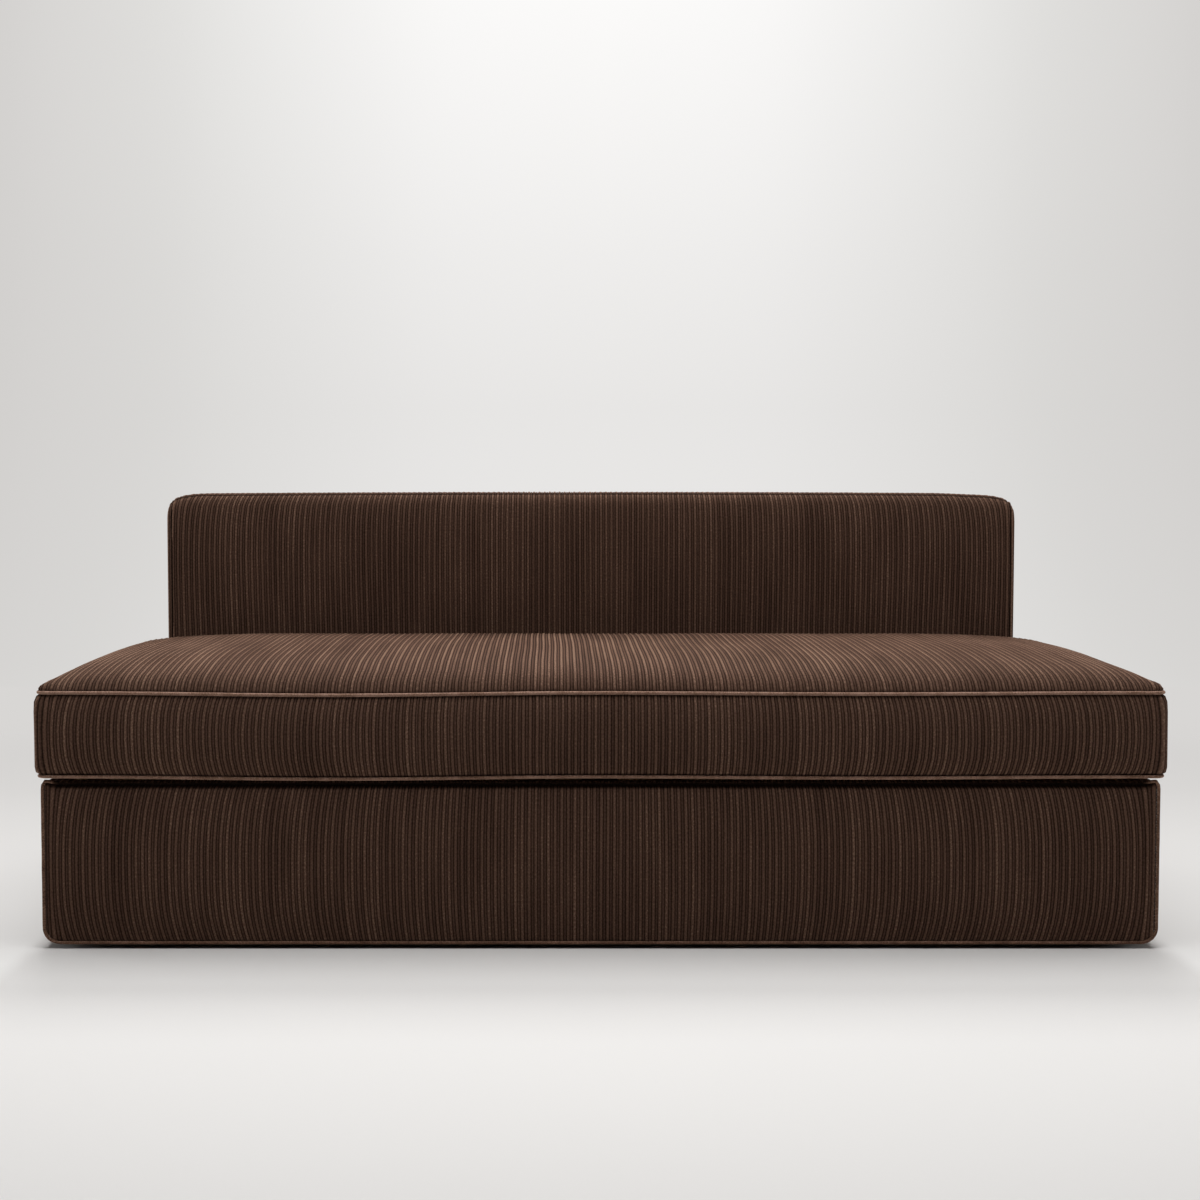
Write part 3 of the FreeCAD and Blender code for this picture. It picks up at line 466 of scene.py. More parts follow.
# %% Cover
class Cover:
    """Panels of cloth that are sewn into one closed mesh."""

    def __init__(self):
        self.points = []
        self.cloth = []
        self.faces = []
        self.count = 0

    def put(self, places, cloth):
        """Adds points with their cloth coordinates and returns their numbers."""
        shape = places.shape[:-1]
        size = int(np.prod(shape))
        self.points.append(places.reshape(-1, 3))
        self.cloth.append(np.broadcast_to(cloth, places.shape).reshape(-1, 3))
        numbers = self.count + np.arange(size).reshape(shape)
        self.count += size
        return numbers

    def weave(self, numbers):
        """Faces between the rows and columns of a grid of point numbers."""
        a, b = numbers[:-1, :-1], numbers[:-1, 1:]
        c, d = numbers[1:, 1:], numbers[1:, :-1]
        self.faces.extend(np.stack([a, b, c, d], -1).reshape(-1, 4).tolist())

    def panel(self, places, u, v, pile, ring=None, outward=1):
        """A ribbed panel. places is where the tips of its pile reach. ring is the axis
        along which the grid closes on itself: 0 for rows, 1 for columns."""
        cloth = np.stack(np.broadcast_arrays(u, v, pile), -1)
        if ring is None:
            normal = directions(places)
        else:
            count = places.shape[ring]
            wide = places.take([-2, *range(count), 1], ring)
            normal = directions(wide).take(range(1, count + 1), ring)
        shown = places + outward * normal * (pile[..., None] - 1) * pile_height
        if ring is None:
            numbers = self.put(shown, cloth)
        else:
            once = range(count - 1)
            numbers = self.put(shown.take(once, ring), cloth.take(once, ring))
            numbers = np.concatenate([numbers, numbers.take([0], ring)], ring)
        self.weave(numbers if outward > 0 else numbers[::-1])
        return numbers

    def sew(self, first, second, axes):
        """Joins two rims with triangles. Both run anticlockwise in those axes."""
        everything = np.concatenate(self.points)
        rims = []
        for rim in (first, second):
            places = everything[rim][:, axes]
            centre = (places.max(0) + places.min(0)) / 2
            angle = np.arctan2(places[:, 1] - centre[1], places[:, 0] - centre[0])
            start = int(np.argmin(angle))
            rims.append((np.roll(rim, -start).tolist(), np.roll(angle, -start)))
        (a, angle_a), (b, angle_b) = rims
        i = j = 0
        while i < len(a) or j < len(b):
            next_a = angle_a[i + 1] if i + 1 < len(a) else angle_a[0] + 2 * math.pi
            next_b = angle_b[j + 1] if j + 1 < len(b) else angle_b[0] + 2 * math.pi
            here_a, here_b = a[i % len(a)], b[j % len(b)]
            if i < len(a) and (j == len(b) or next_a <= next_b):
                i += 1
                self.faces.append([here_a, a[i % len(a)], here_b])
            else:
                j += 1
                self.faces.append([here_a, b[j % len(b)], here_b])

    def make(self, name, material, body, stands_for, turn=None):
        """Builds the mesh and gives it its finish, its body and its CAD node. turn is
        the sum of the two Y values that a half turn swaps."""
        places = np.concatenate(self.points)
        if turn is not None:
            places = places * (-1, -1, 1) + (0, turn, 0)
        mesh = bpy.data.meshes.new(name)
        mesh.from_pydata(places.tolist(), [], self.faces)
        field = mesh.attributes.new("cloth", "FLOAT_VECTOR", "POINT")
        field.data.foreach_set("vector", np.concatenate(self.cloth).astype(np.float32).ravel())
        mesh.shade_smooth()
        mesh.materials.append(material)
        piece = bpy.data.objects.new(name, mesh)
        bpy.context.scene.collection.objects.link(piece)
        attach(piece, body)
        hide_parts(stands_for)
        print(name, len(self.faces), "faces,", [round(a / mm) for a in piece.dimensions], "mm")


print("a cover can", [step for step in vars(Cover) if not step.startswith("_")])

# %% [markdown]
# Covers and piping follow a few outlines: the rim of a grid, the box of a CAD node,
# and a rectangle with round corners, which is walked by the distance along it.


# %% Rims, boxes and loops
def rim_of(numbers):
    """The numbers round a grid, starting along its first row."""
    return np.concatenate(
        [numbers[0, :], numbers[1:, -1], numbers[-1, -2::-1], numbers[-2:0:-1, 0]]
    )


def box_of(node):
    """The low and high corner of a CAD node, as arrays."""
    low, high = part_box(node)
    return np.array(low), np.array(high)


def loop_of(low, high, low_radius, high_radius):
    """A rounded rectangle as dense points, anticlockwise from the middle of its low
    side, and the distance along it. The radii are those of its low and high corners."""
    turn = np.linspace(0, math.pi / 2, 33)
    pieces = [np.array([[(low[0] + high[0]) / 2, low[1]]])]
    for number, radius in enumerate((low_radius, high_radius, high_radius, low_radius)):
        angle = turn + (number - 1) * math.pi / 2
        centre_a = high[0] - radius if number in (0, 1) else low[0] + radius
        centre_b = high[1] - radius if number in (1, 2) else low[1] + radius
        arc = [centre_a + radius * np.cos(angle), centre_b + radius * np.sin(angle)]
        pieces.append(np.stack(arc, -1))
    points = np.concatenate([*pieces, pieces[0]])
    steps = np.linalg.norm(np.diff(points, axis=0), axis=1)
    return points, np.concatenate([[0], np.cumsum(steps)])


def along_loop(points, distance, wanted):
    """Points of a loop at the wanted distances along it, and the outward directions."""
    small = 0.5 * mm

    def at(where):
        """The points at those distances, counted on past the loop's end."""
        where = np.mod(where, distance[-1])
        return np.stack([np.interp(where, distance, points[:, n]) for n in (0, 1)], -1)

    here = np.mod(wanted, distance[-1])
    way = at(here + small) - at(here - small)
    way /= np.linalg.norm(way, axis=-1, keepdims=True)
    return at(here), np.stack([way[..., 1], -way[..., 0]], -1)


length = loop_of((0, 0), (2, 1), 0.1, 0.1)[1][-1]
print("a loop of 2 by 1 m with 0.1 m corners is", round(length, 2), "m long")

# %% [markdown]
# ## Seat cushion
#
# The seat is one loose bench cushion: a foam block wrapped in wadding, so its top is
# crowned and its sides, the boxing, bow out between two rows of piping. A cloth
# simulation would blow up the same shape, but it would move the ribs off their
# lines, so the crown and the bow are shaped by formulas and the ribs sit on top.
# Both ends are stuffed a little wider than the plain solid, and the piping sags
# between the middle and the ends, where the foam gives.

# %% Seat cushion: measures
cushion_high = box_of("seat_cushion")[1]
high_welt_low, high_welt_high = box_of("cushion_welt_high")
low_welt_low, low_welt_high = box_of("cushion_welt_low")
cad_welt_radius = (high_welt_high[2] - high_welt_low[2]) / 2
seam_gap = 0.3 * mm
left_spread = 6 * mm
right_spread = 7.5 * mm
high_seam_drop = 8.8 * mm
low_seam_drop = 1.2 * mm
neck_low = high_welt_low[:2] + 2 * cad_welt_radius + seam_gap
neck_high = high_welt_high[:2] - 2 * cad_welt_radius - seam_gap
neck_low[0] -= left_spread
neck_high[0] += right_spread
high_level = (high_welt_low[2] + high_welt_high[2]) / 2 - high_seam_drop
low_level = (low_welt_low[2] + low_welt_high[2]) / 2 - low_seam_drop
neck_radius = 16 * mm
sag_depth = 4.5 * mm


def sag(x, y, reach):
    """How far the front seam droops, fading out over reach to the rear. Towards the
    right end it droops half as far."""
    share = ease(1 - (y - neck_low[1]) / reach)
    lean = 1 - 0.5 * ease(0.5 + x / 0.6)
    return sag_depth * lean * np.sin(math.pi * np.clip(np.abs(x), 0, 1)) ** 2 * share


def end_weight(x, half, run, straight):
    """How much the wales lean at x: none in the middle, full towards the ends, and
    none again in the last bit, where the end seam holds them."""
    return -np.sign(x) * ease(np.abs(x) / run) * ease((half - np.abs(x)) / straight)


print("neck", neck_low, neck_high, "levels", low_level, high_level)

# %% [markdown]
# The crown rises steeply from its seams and runs flat after that. The cloth is held
# at a seam, so the first millimetres rise softly. Wadding stuffs the front corners
# into small humps, and the rear is worn a little lower by sitting.

# %% Seat cushion: crown
foot_lift = 2 * mm
crown_spare = 3.5 * mm
crown_height = cushion_high[2] - crown_spare - high_level - foot_lift
end_hold = 5 * mm
end_run, end_power = 384 * mm, 4.6
front_run, front_power = 640 * mm, 3.6
rear_run, rear_power = 35 * mm, 2.9
soft_end, soft_front = 6 * mm, 14 * mm
corner_fill = 9 * mm
fill_width, fill_depth = 28 * mm, 40 * mm
worn_depth = 3 * mm
worn_width = 150 * mm


def swell(distance, run, power):
    """The crown's rise away from a seam, as a share. A high power makes it steep at
    the seam and flat after that."""
    share = np.clip(distance / run, 0, 1)
    return (1 - (1 - share) ** 2) ** (1 / power)


def soft_foot(distance, reach):
    """Takes the steepness out of the first millimetres next to a seam."""
    return 1 - np.exp(-distance / reach)


def crown(end_gap, front_gap, rear_gap):
    """The crown's height over its seams, from the distances to the nearest seams."""
    held = end_gap**2 / (end_gap + end_hold)
    ends = swell(held, end_run, end_power) * soft_foot(end_gap, soft_end) ** 0.4
    front = swell(front_gap, front_run, front_power) * soft_foot(front_gap, soft_front) ** 0.7
    rear = swell(rear_gap, rear_run, rear_power)
    stuffed = corner_fill * np.exp(-((end_gap / fill_width) ** 2) - (front_gap / fill_depth) ** 2)
    stuffed = stuffed * soft_foot(np.minimum(end_gap, front_gap), 2.5 * mm)
    worn = worn_depth * ease(1 - rear_gap / worn_width) * ease(end_gap / 0.25)
    return crown_height * ends * (front * rear) + stuffed - worn


print("crown", round(crown_height / mm, 1), "mm high")

# %% [markdown]
# The top panel's wales run from the front to the rear. Rows of points crowd near the
# seams, where the crown rises steeply, and the pile thins out in the last few
# millimetres, where the seam pulls it under. At the front corners the stuffing
# pushes a small lip out over the piping. The underside is flat.

# %% Seat cushion: top and bottom panels
top_rows = 23
seam_lean = 5 * mm
unevenness = 1.2 * mm
corner_lip = 6.5 * mm
lip_width, lip_depth = 20 * mm, 60 * mm


def between_seams(x, share):
    """The gap to the cushion's ends, the front seam, the rear seam, and the places
    that lie that share of the way between them."""
    end_gap = np.minimum(x - neck_low[0], neck_high[0] - x)
    inset = corner(end_gap, neck_radius)
    front = neck_low[1] + inset
    rear = neck_high[1] - inset
    return end_gap, front, rear, front + share * (rear - front)


cushion = Cover()
width = neck_high[0] - neck_low[0]
across, heights = wales(width, 11)
share = ((1 - np.cos(math.pi * np.arange(top_rows) / (top_rows - 1))) / 2)[:, None]
x = neck_low[0] + across + 0 * share
x = x + 0.8 * mm * drift(x, share, 0.35, 0.9, 12) * np.sin(math.pi * share)
x = x - seam_lean * end_weight(x, neck_high[0], 0.4, 0.06) * (1 - ease(share / 0.08))
x = np.clip(x, neck_low[0], neck_high[0])
end_gap, front, rear, y = between_seams(x, share)
seam_distance = np.minimum(y - front, rear - y)
z = high_level + foot_lift * ease(end_gap / 0.06) + crown(end_gap, y - front, rear - y)
z = z - sag(x, y, 0.15) + unevenness * drift(x, y, 0.6, 0.5, 13) * ease(seam_distance / 0.1)
lip = corner_lip * np.exp(-((end_gap / lip_width) ** 2) - ((y - front) / lip_depth) ** 2)
x = x + np.sign(x) * lip * soft_foot(end_gap, 1.5 * mm)
fade = ease(np.minimum(seam_distance, end_gap) / (5 * mm) + 0.5)
top = cushion.panel(np.stack([x, y, z], -1), x, y, heights * fade)

share = np.array([[0], [1]])
x = neck_low[0] + across + 0 * share
y = between_seams(x, share)[3]
z = low_level - sag(x, y, 0.06)
under = cushion.panel(np.stack([x, y, z], -1), x, y, heights + 0 * y, outward=-1)
print("top", top.shape, "underside", under.shape)

# %% [markdown]
# The boxing is one band of four panels, with a seam near each corner. Its wales lean
# towards the middle of the front at both rows of piping, where the seams hold them.

# %% Seat cushion: wales of the boxing
corner_seam = math.radians(54)
boxing_bow = 10 * mm
sunk_seam = -0.5
loop, loop_distance = loop_of(neck_low, neck_high, neck_radius, neck_radius)
arc = neck_radius * math.pi / 2
half_front = width / 2 - neck_radius + neck_radius * corner_seam
depth = neck_high[1] - neck_low[1]
side_length = depth - 2 * neck_radius + arc - neck_radius * corner_seam + arc / 2
rear_length = width - 2 * neck_radius + arc
lengths = (2 * half_front, side_length, rear_length, side_length)
starts = np.cumsum([0, *lengths[:3]])
around = []
band = []
for number, (start, length) in enumerate(zip(starts, lengths)):
    across, heights = wales(length, 21 + number)
    heights[0] = heights[-1] = sunk_seam
    around.append(start + across[:-1])
    band.append(heights[:-1])
around = np.concatenate([*around, [starts[-1] + side_length]]) - half_front
band = np.concatenate([*band, [sunk_seam]])
band_shares = np.array([0, 0.015, 0.045, 0.11, 0.24, 0.42, 0.6, 0.77, 0.89, 0.955, 0.985, 1])
share = band_shares[:, None]
bow = boxing_bow * np.abs(2 * share - 1) ** 2.6
is_front = np.abs(around) < half_front
shift = bow * np.where(is_front, end_weight(around, half_front, 0.75, 0.05), 0)
wander = 0.7 * mm * drift(around, share, 0.3, 1.5, 31) * np.sin(math.pi * share)
wander = wander * ease((half_front - np.abs(around)) / 0.03 + np.where(is_front, 0, 9))
print(len(band), "columns round the cushion")

# %% [markdown]
# Between the two rows of piping the stuffing pushes the band out: most at the front,
# which rounds like a pillow, while the ends stay flatter and square off at the
# piping. The pile is flat where the zip lies.

# %% Seat cushion: shape of the boxing
end_bulge = 9.8 * mm
front_extra = 8.2 * mm
rear_extra = 0.7 * mm
zip_half = 0.8
place, outward = along_loop(loop, loop_distance, around + shift + wander)
facing_front = np.clip(-outward[..., 1], 0, 1)
facing_rear = np.clip(outward[..., 1], 0, 1)
seam_pinch = ease(np.abs(np.abs(around) - half_front) / 0.06)
bulge = end_bulge + front_extra * facing_front + rear_extra * facing_rear
bulge = bulge * (0.9 + 0.1 * seam_pinch) + 1.0 * mm * drift(around, share, 0.4, 2.0, 32)
roundness = 10 + 8 * (share < 0.5)
roundness = roundness + (3.2 - roundness) * np.maximum(facing_front, facing_rear) ** 4
swollen = bulge * (1 - np.abs(2 * share - 1) ** roundness)
x, y = np.moveaxis(place + outward * swollen[..., None], -1, 0)
z = low_level + share * (high_level - low_level) - sag(x, y, 0.06)
fade = np.minimum(1, np.minimum(share, 1 - share) / 0.035) * 0.95 + 0.05
zip_row = (facing_rear > 0.9) & (np.abs(share - 0.5) < 0.08) & (np.abs(x) < zip_half)
pile = np.where(band < 0, band, band * fade) * np.where(zip_row, 0.15, 1)
boxing = cushion.panel(np.stack([x, y, z], -1), around + 3.0, z, pile, ring=1)
cushion.sew(boxing[-1, :-1], rim_of(top), (0, 1))
cushion.sew(rim_of(under), boxing[0, :-1], (0, 1))
cushion.make("seat_cushion_cover", ribbed_brown, "cushion", "seat_cushion")

# %% [markdown]
# ## Piping
#
# Piping is a cord wrapped in a strip of the same cloth, cut on the bias so that it
# bends round corners. Its ribs are pressed flat and run slanting round the cord.
# Every seam pulls it in a little here and there, so its thickness wavers. Its colour
# is darkened along the path by a given share; where the base's piping runs in under
# the cushion, that darkening is painted shade.

# %% Piping maker
piping_radius = 3.15 * mm
piping_sides = 12
piping_step = 6 * mm


def piping(name, path, outward, upward, body, node, closed=True, darkening=0.0):
    """A cord of cloth along path. outward and upward span its section. darkening
    says how much darker its colour is along the path, from 0 to 1; under the cushion
    it is painted shade."""
    cover = Cover()
    steps = np.linalg.norm(np.diff(path, axis=0), axis=1)
    u = np.concatenate([[0], np.cumsum(steps)])
    turn = np.linspace(0, 2 * math.pi, piping_sides + 1)[:, None]
    seed = sum(map(ord, name))
    radius = piping_radius * (1 + 0.035 * drift(u, 0 * turn, 0.05, 1, seed))
    places = path + radius[..., None] * (
        np.cos(turn)[..., None] * outward + np.sin(turn)[..., None] * np.array(upward)
    )
    v = turn * piping_radius + 0 * u
    cloth = np.stack(np.broadcast_arrays(u, v, 0.9 - 0.9 * darkening), -1)
    if closed:
        numbers = cover.put(places[:-1, :-1], cloth[:-1, :-1])
        numbers = np.concatenate([numbers, numbers[:, :1]], 1)
    else:
        numbers = cover.put(places[:-1], cloth[:-1])
        cover.faces.append(numbers[::-1, 0].tolist())
        cover.faces.append(numbers[:, -1].tolist())
    cover.weave(np.concatenate([numbers, numbers[:1]], 0))
    cover.make(name, piping_brown, body, node)


def piping_loop(low, high, low_radius, high_radius):
    """Evenly spaced points round a rounded rectangle and their outward directions."""
    points, distance = loop_of(low, high, low_radius, high_radius)
    count = int(distance[-1] / piping_step)
    return along_loop(points, distance, np.linspace(0, distance[-1], count + 1))


print("piping", round(2 * piping_radius / mm, 1), "mm thick")

# %% [markdown]
# The cushion's two rows of piping follow its necks and share the sag of its seams.

# %% Piping of the seat cushion
# Each row's colour is darkened by a fixed share, the lower row a little more.
for name, node, level, darkening in (
    ("cushion_piping_high", "cushion_welt_high", high_level, 0.08),
    ("cushion_piping_low", "cushion_welt_low", low_level, 0.14),
):
    reach = piping_radius + seam_gap
    place, outward = piping_loop(
        neck_low - reach, neck_high + reach, neck_radius + reach, neck_radius + reach
    )
    z = level - sag(place[:, 0], place[:, 1], 0.06)
    path = np.column_stack([place, z])
    sideways = np.column_stack([outward, 0 * z])
    piping(name, path, sideways, (0, 0, 1), "cushion", node, darkening=darkening)

# %% [markdown]
# ## Zip
#
# The cover comes off for washing through a zip in the rear boxing: two strips of
# woven tape, a coil of nylon teeth between them and a slider with its pull.

# %% Zip
zip_low, zip_high = box_of("cushion_zip")
tooth_pitch = 4 * mm
tooth = (1.3 * mm, 0.9 * mm, 3.4 * mm)
tape_thickness = 0.5 * mm
tape_width = 4.2 * mm
tape_offset = 2.9 * mm
mesh_offset = 0.3 * mm
slider_inset = 14 * mm
block = np.array([(a, b, c) for a in (-1, 1) for b in (-1, 1) for c in (-1, 1)]) / 2
block_faces = [(0, 1, 3, 2), (4, 6, 7, 5), (0, 4, 5, 1), (2, 3, 7, 6), (0, 2, 6, 4), (1, 5, 7, 3)]
zip_points = []
zip_faces = []


def zip_block(centre, size):
    """Adds one small block to the zip."""
    first = len(zip_points)
    zip_points.extend((block * size + centre).tolist())
    zip_faces.extend([[first + n for n in face] for face in block_faces])


middle = (zip_low + zip_high) / 2
tape_y = zip_low[1] + tape_thickness / 2
for side in (-1, 1):
    tape_z = middle[2] + side * tape_offset
    zip_block((middle[0], tape_y, tape_z), (zip_high[0] - zip_low[0], tape_thickness, tape_width))
tooth_y = tape_y + tape_thickness / 2 + tooth[1] / 2
for x in np.arange(zip_low[0] + tooth_pitch, zip_high[0] - tooth_pitch, tooth_pitch):
    zip_block((x, tooth_y, middle[2] + mesh_offset), tooth)
    zip_block((x + tooth_pitch / 2, tooth_y, middle[2] - mesh_offset), tooth)
slider_x = zip_high[0] - slider_inset
zip_block((slider_x, tooth_y + 0.3 * mm, middle[2]), (9 * mm, 1.4 * mm, 6.5 * mm))
zip_block((slider_x - 9 * mm, tooth_y + 0.6 * mm, middle[2]), (15 * mm, 0.6 * mm, 3.5 * mm))
mesh = bpy.data.meshes.new("zip_fastener")
mesh.from_pydata(zip_points, [], zip_faces)
zip_fastener = bpy.data.objects.new("zip_fastener", mesh)
bpy.context.scene.collection.objects.link(zip_fastener)
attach(zip_fastener, "cushion")
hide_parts("cushion_zip")
print("zip of", len(zip_faces) // 6, "blocks")

# %% [markdown]
# ## Backrest
#
# The backrest is a wooden frame in foam with its cover pulled tight. One width of
# cloth goes up the front, over the rounded top, down the rear and underneath, with
# a seam just below the top edge. At the ends its corners are drawn in and an end
# panel closes it. The wales lean towards the middle where they go over the top,
# because the cloth is pulled into the end seams there.

# %% Backrest: section
back_low, back_high = box_of("back_cushion")
foot_radius = 70 * mm
brow_radius = 30 * mm
end_radius = 20 * mm
brow_turns = np.radians([0, 17, 32, 44, 53, 59, 64.5, 72, 81, 90])
foot_rows = 7
front_rows = 14


def rounded(side, level, radius, turns):
    """Rows round a corner of the section: the shares between its limits where the
    corner is, 0 or 1, and the offsets from them. A turn of 0 is on the upright side."""
    in_y = (1 - 2 * side) * radius
    in_z = (1 - 2 * level) * radius
    return [(side, in_y * (1 - math.cos(t)), level, in_z * (1 - math.sin(t))) for t in turns]


def upright(side, shares):
    """Rows along an upright side, between its round corners."""
    return [(side, 0, t, foot_radius * (1 - t) - brow_radius * t) for t in shares]


quarter = math.pi / 2
section = rounded(0, 0, foot_radius, np.linspace(quarter, 0, foot_rows))
section += upright(0, np.linspace(0, 1, front_rows + 2)[1:-1])
section += rounded(0, 1, brow_radius, brow_turns)
section += [(t, brow_radius * (1 - 2 * t), 1, 0) for t in (0.25, 0.5, 0.75)]
section += rounded(1, 1, brow_radius, np.linspace(quarter, 0, 6))
section += upright(1, np.linspace(1, 0, 9)[1:-1])
section += rounded(1, 0, foot_radius, np.linspace(0, quarter, 6))
section = np.array([*section, (0.5, 0, 0, 0), section[0]])
row_y = back_low[1] + section[:, 0] * (back_high[1] - back_low[1]) + section[:, 1]
row_z = back_low[2] + section[:, 2] * (back_high[2] - back_low[2]) + section[:, 3]
girth = np.concatenate([[0], np.cumsum(np.hypot(np.diff(row_y), np.diff(row_z)))])
brow_row = foot_rows + front_rows
seam_row = brow_row + 5
print("section of", len(section), "rows, girth", round(girth[-1], 3))

# %% [markdown]
# The end corners are rounder seen from the front than from above: the height of the
# section falls away over the last 110 mm, in a superellipse, while its depth only
# draws in over the last 20 mm. The top edge is a little higher in the middle than at
# the ends, the right end sags most, and the front leans back a little at its top.

# %% Backrest: shape
fall_run = 110 * mm
fall_depth = 48 * mm
fall_power = 3.2
end_droop = 4 * mm
top_spare = 1.3 * mm
right_sag = 3 * mm
rear_spare = 1.5 * mm
brow_lean = 6 * mm
slack = 1.02
half_back = back_high[0] - 0.5 * mm
across, heights = wales(2 * half_back * slack, 41)
path = (girth - girth[brow_row])[:, None]
lean_places = np.array([-500, -300, -210, -120, -60, -25, 0, 25, 47, 200, 500, 2000]) * mm
lean_amounts = np.array([6, 4.5, 1.5, 0, 1.5, 4, 8, 17, 24, 27, 27, 27]) * mm
lean = np.interp(path, lean_places, lean_amounts)
x = across / slack - half_back + 0 * path
x = x + lean * end_weight(x, half_back, 0.95, 0.06)
x = x + 0.7 * mm * drift(x, path, 0.3, 0.7, 42) * ease((half_back - np.abs(x)) / 0.03)
x[-1] = x[0]
end_gap = half_back - np.abs(x)
inset = corner(end_gap, end_radius)
fall_share = np.clip(1 - end_gap / fall_run, 0, 1)
fall = fall_depth * (1 - np.maximum(1 - fall_share**fall_power, 0) ** (1 / fall_power))
droop = end_droop * (x / half_back) ** 2
low_y = back_low[1] + inset + 0.5 * droop
high_y = back_high[1] - inset - rear_spare
low_z = back_low[2] + inset
high_z = back_high[2] - fall - droop - top_spare - right_sag * ease((x - 0.78) / 0.12)
y = low_y + section[:, :1] * (high_y - low_y) + section[:, 1:2]
z = low_z + section[:, 2:3] * (high_z - low_z) + section[:, 3:]
in_front = 1 - section[:, :1]
y = y + 0.8 * mm * drift(x, z, 0.5, 0.5, 43) * ease((z - back_low[2]) / 0.1) * in_front
from_top = np.clip((back_high[2] - z) / (90 * mm), 0, 1)
y = y + brow_lean * (1 - from_top) ** 2 * in_front
print("top edge", round(z.max(), 3))

# %% [markdown]
# A seam is a line where the pile is sunk below the ground of the cloth: one row just
# below the top edge, and a narrow column near each end that stops above the foot.

# %% Backrest: cover
end_seam = 13 * mm
seam_half = 1.6 * mm
back = Cover()
row_pile = np.ones((len(section), 1))
row_pile[seam_row - 1 : seam_row + 2, 0] = (0.75, -0.25, 0.75)
pile = heights * row_pile
seam_column = np.abs(end_gap - end_seam) < seam_half
pile = np.where(seam_column & (z > back_low[2] + 0.08), -0.3, pile)
pile[-1] = pile[0]
sleeve = back.panel(np.stack([x, y, z], -1), x + 6.0, path, pile, ring=0)
print("sleeve", sleeve.shape)

# %% [markdown]
# Each end panel is a small grid whose wales run up and down. Its outline is the
# sleeve's own end, a hair smaller, so that the two can be sewn together.

# %% Backrest: end panels
end_rows = 24
hair = 1.5 * mm
for side in (-1, 1):
    column = 0 if side < 0 else -1
    rim_y, rim_z = y[:-1, column], z[:-1, column]
    low = np.array([rim_y.min(), rim_z.min()]) + hair
    high = np.array([rim_y.max(), rim_z.max()]) - hair
    across, heights = wales(high[0] - low[0], 45 + side)
    share = np.linspace(0, 1, end_rows)[:, None]
    end_y = low[0] + across + 0 * share
    gap = np.minimum(end_y - low[0], high[0] - end_y)
    bottom = low[1] + corner(gap, foot_radius)
    brow = high[1] - corner(gap, brow_radius)
    end_z = bottom + share * (brow - bottom)
    puff = 2 * mm * ease(np.minimum(gap, np.minimum(share, 1 - share) * 0.4) / 0.05)
    end_x = side * (half_back + puff)
    fade = ease(np.minimum(gap, np.minimum(end_z - bottom, brow - end_z)) / (6 * mm))
    grid = np.stack([end_x, end_y, end_z], -1)
    numbers = back.panel(grid, end_y + 9.0, end_z, heights * fade, outward=side)
    rims = [sleeve[:-1, column][::-1], rim_of(numbers)]
    back.sew(*rims[::side], (1, 2))
back.make("back_cushion_cover", ribbed_brown, "backrest", "back_cushion")

# %% [markdown]
# ## Base covers
#
# The front and the rear of the base are padded boards. The cloth is pulled over a
# layer of foam and piped round the face, and it is pulled hardest along the top and
# bottom edges, so the wales bow: they lean towards the middle at both edges and
# stand straight at the level where the board holds them. The top edge is tucked in
# under the cushion, except in its corners, which stand up a little.
# Along the top edge the pile fades flat and the colour darkens: painted shade under the cushion.

# %% Base panel: face
edge_drop = 9 * mm
base_low_radius = 32 * mm
base_high_radius = 9 * mm
soft_bulge = 4.5 * mm
top_tuck = 14 * mm
tuck_reach = 16 * mm
bow_level = 0.47
high_bow = 19 * mm
low_bow = 18 * mm
corner_rise = 4.5 * mm


def tucked_share(end_gap):
    """How far the top edge is tucked in under the cushion: not at all at its ends."""
    return ease((end_gap - 6 * mm) / (26 * mm))


def panel_face(cover, low, high, seed):
    """The padded face of a panel, in the box from low to high."""
    half = high[0]
    across, heights = wales(2 * half, seed)
    near = np.array([0, 0.008, 0.017, 0.028, 0.042, 0.065])
    share = np.concatenate([near, np.linspace(0.12, 0.88, 15), 1 - near[::-1]])[:, None]
    rise = np.clip((share - bow_level) / (1 - bow_level), 0, 1)
    drop = np.clip((bow_level - share) / bow_level, 0, 1)
    bow = high_bow * rise**2.6 + low_bow * drop**3
    x = across - half + 0 * share
    x = x + bow * end_weight(x, half, 0.75, 0.04)
    x = x + 0.8 * mm * drift(x, share, 0.25, 1.6, seed + 1) * ease((half - np.abs(x)) / 0.04)
    x = np.clip(x, -half, half)
    end_gap = half - np.abs(x)
    tucked = tucked_share(end_gap)
    bottom = low[2] + corner(end_gap, base_low_radius)
    brim = high[2] - corner(end_gap, base_high_radius) + corner_rise * (1 - tucked)
    z = bottom + share * (brim - bottom)
    edge = np.minimum(end_gap, np.minimum(z - bottom, brim - z))
    dip = edge_drop * np.clip(1 - edge / edge_drop, 0, 1) ** 1.5
    dip = dip + top_tuck * tucked * np.clip(1 - (high[2] - z) / tuck_reach, 0, 1) ** 1.6
    puff = soft_bulge * (1 - np.abs(2 * share - 1) ** 2.2) * ease(end_gap / 0.09)
    puff = puff + 0.7 * mm * drift(x, z, 0.35, 0.5, seed + 2) * ease(edge / 0.05)
    y = low[1] + dip - puff
    # Painted shade: over the top edge, under the cushion, the pile fades and its tone darkens.
    fade = ease((edge - 2 * mm) / (5 * mm)) * ease((brim - z) / tuck_reach + 0.1)
    return cover.panel(np.stack([x, y, z], -1), x, z, heights * fade)


print("face bulges", soft_bulge / mm, "mm, tucks in", top_tuck / mm, "mm")

# %% [markdown]
# Behind the face the cloth wraps the panel's edges, and at the rear it leaves a flat
# pocket, a hair larger than the board, which the board fills.

# %% Base panel: edges, pocket and the whole
edge_puff = 1.5 * mm
spare = 0.3 * mm


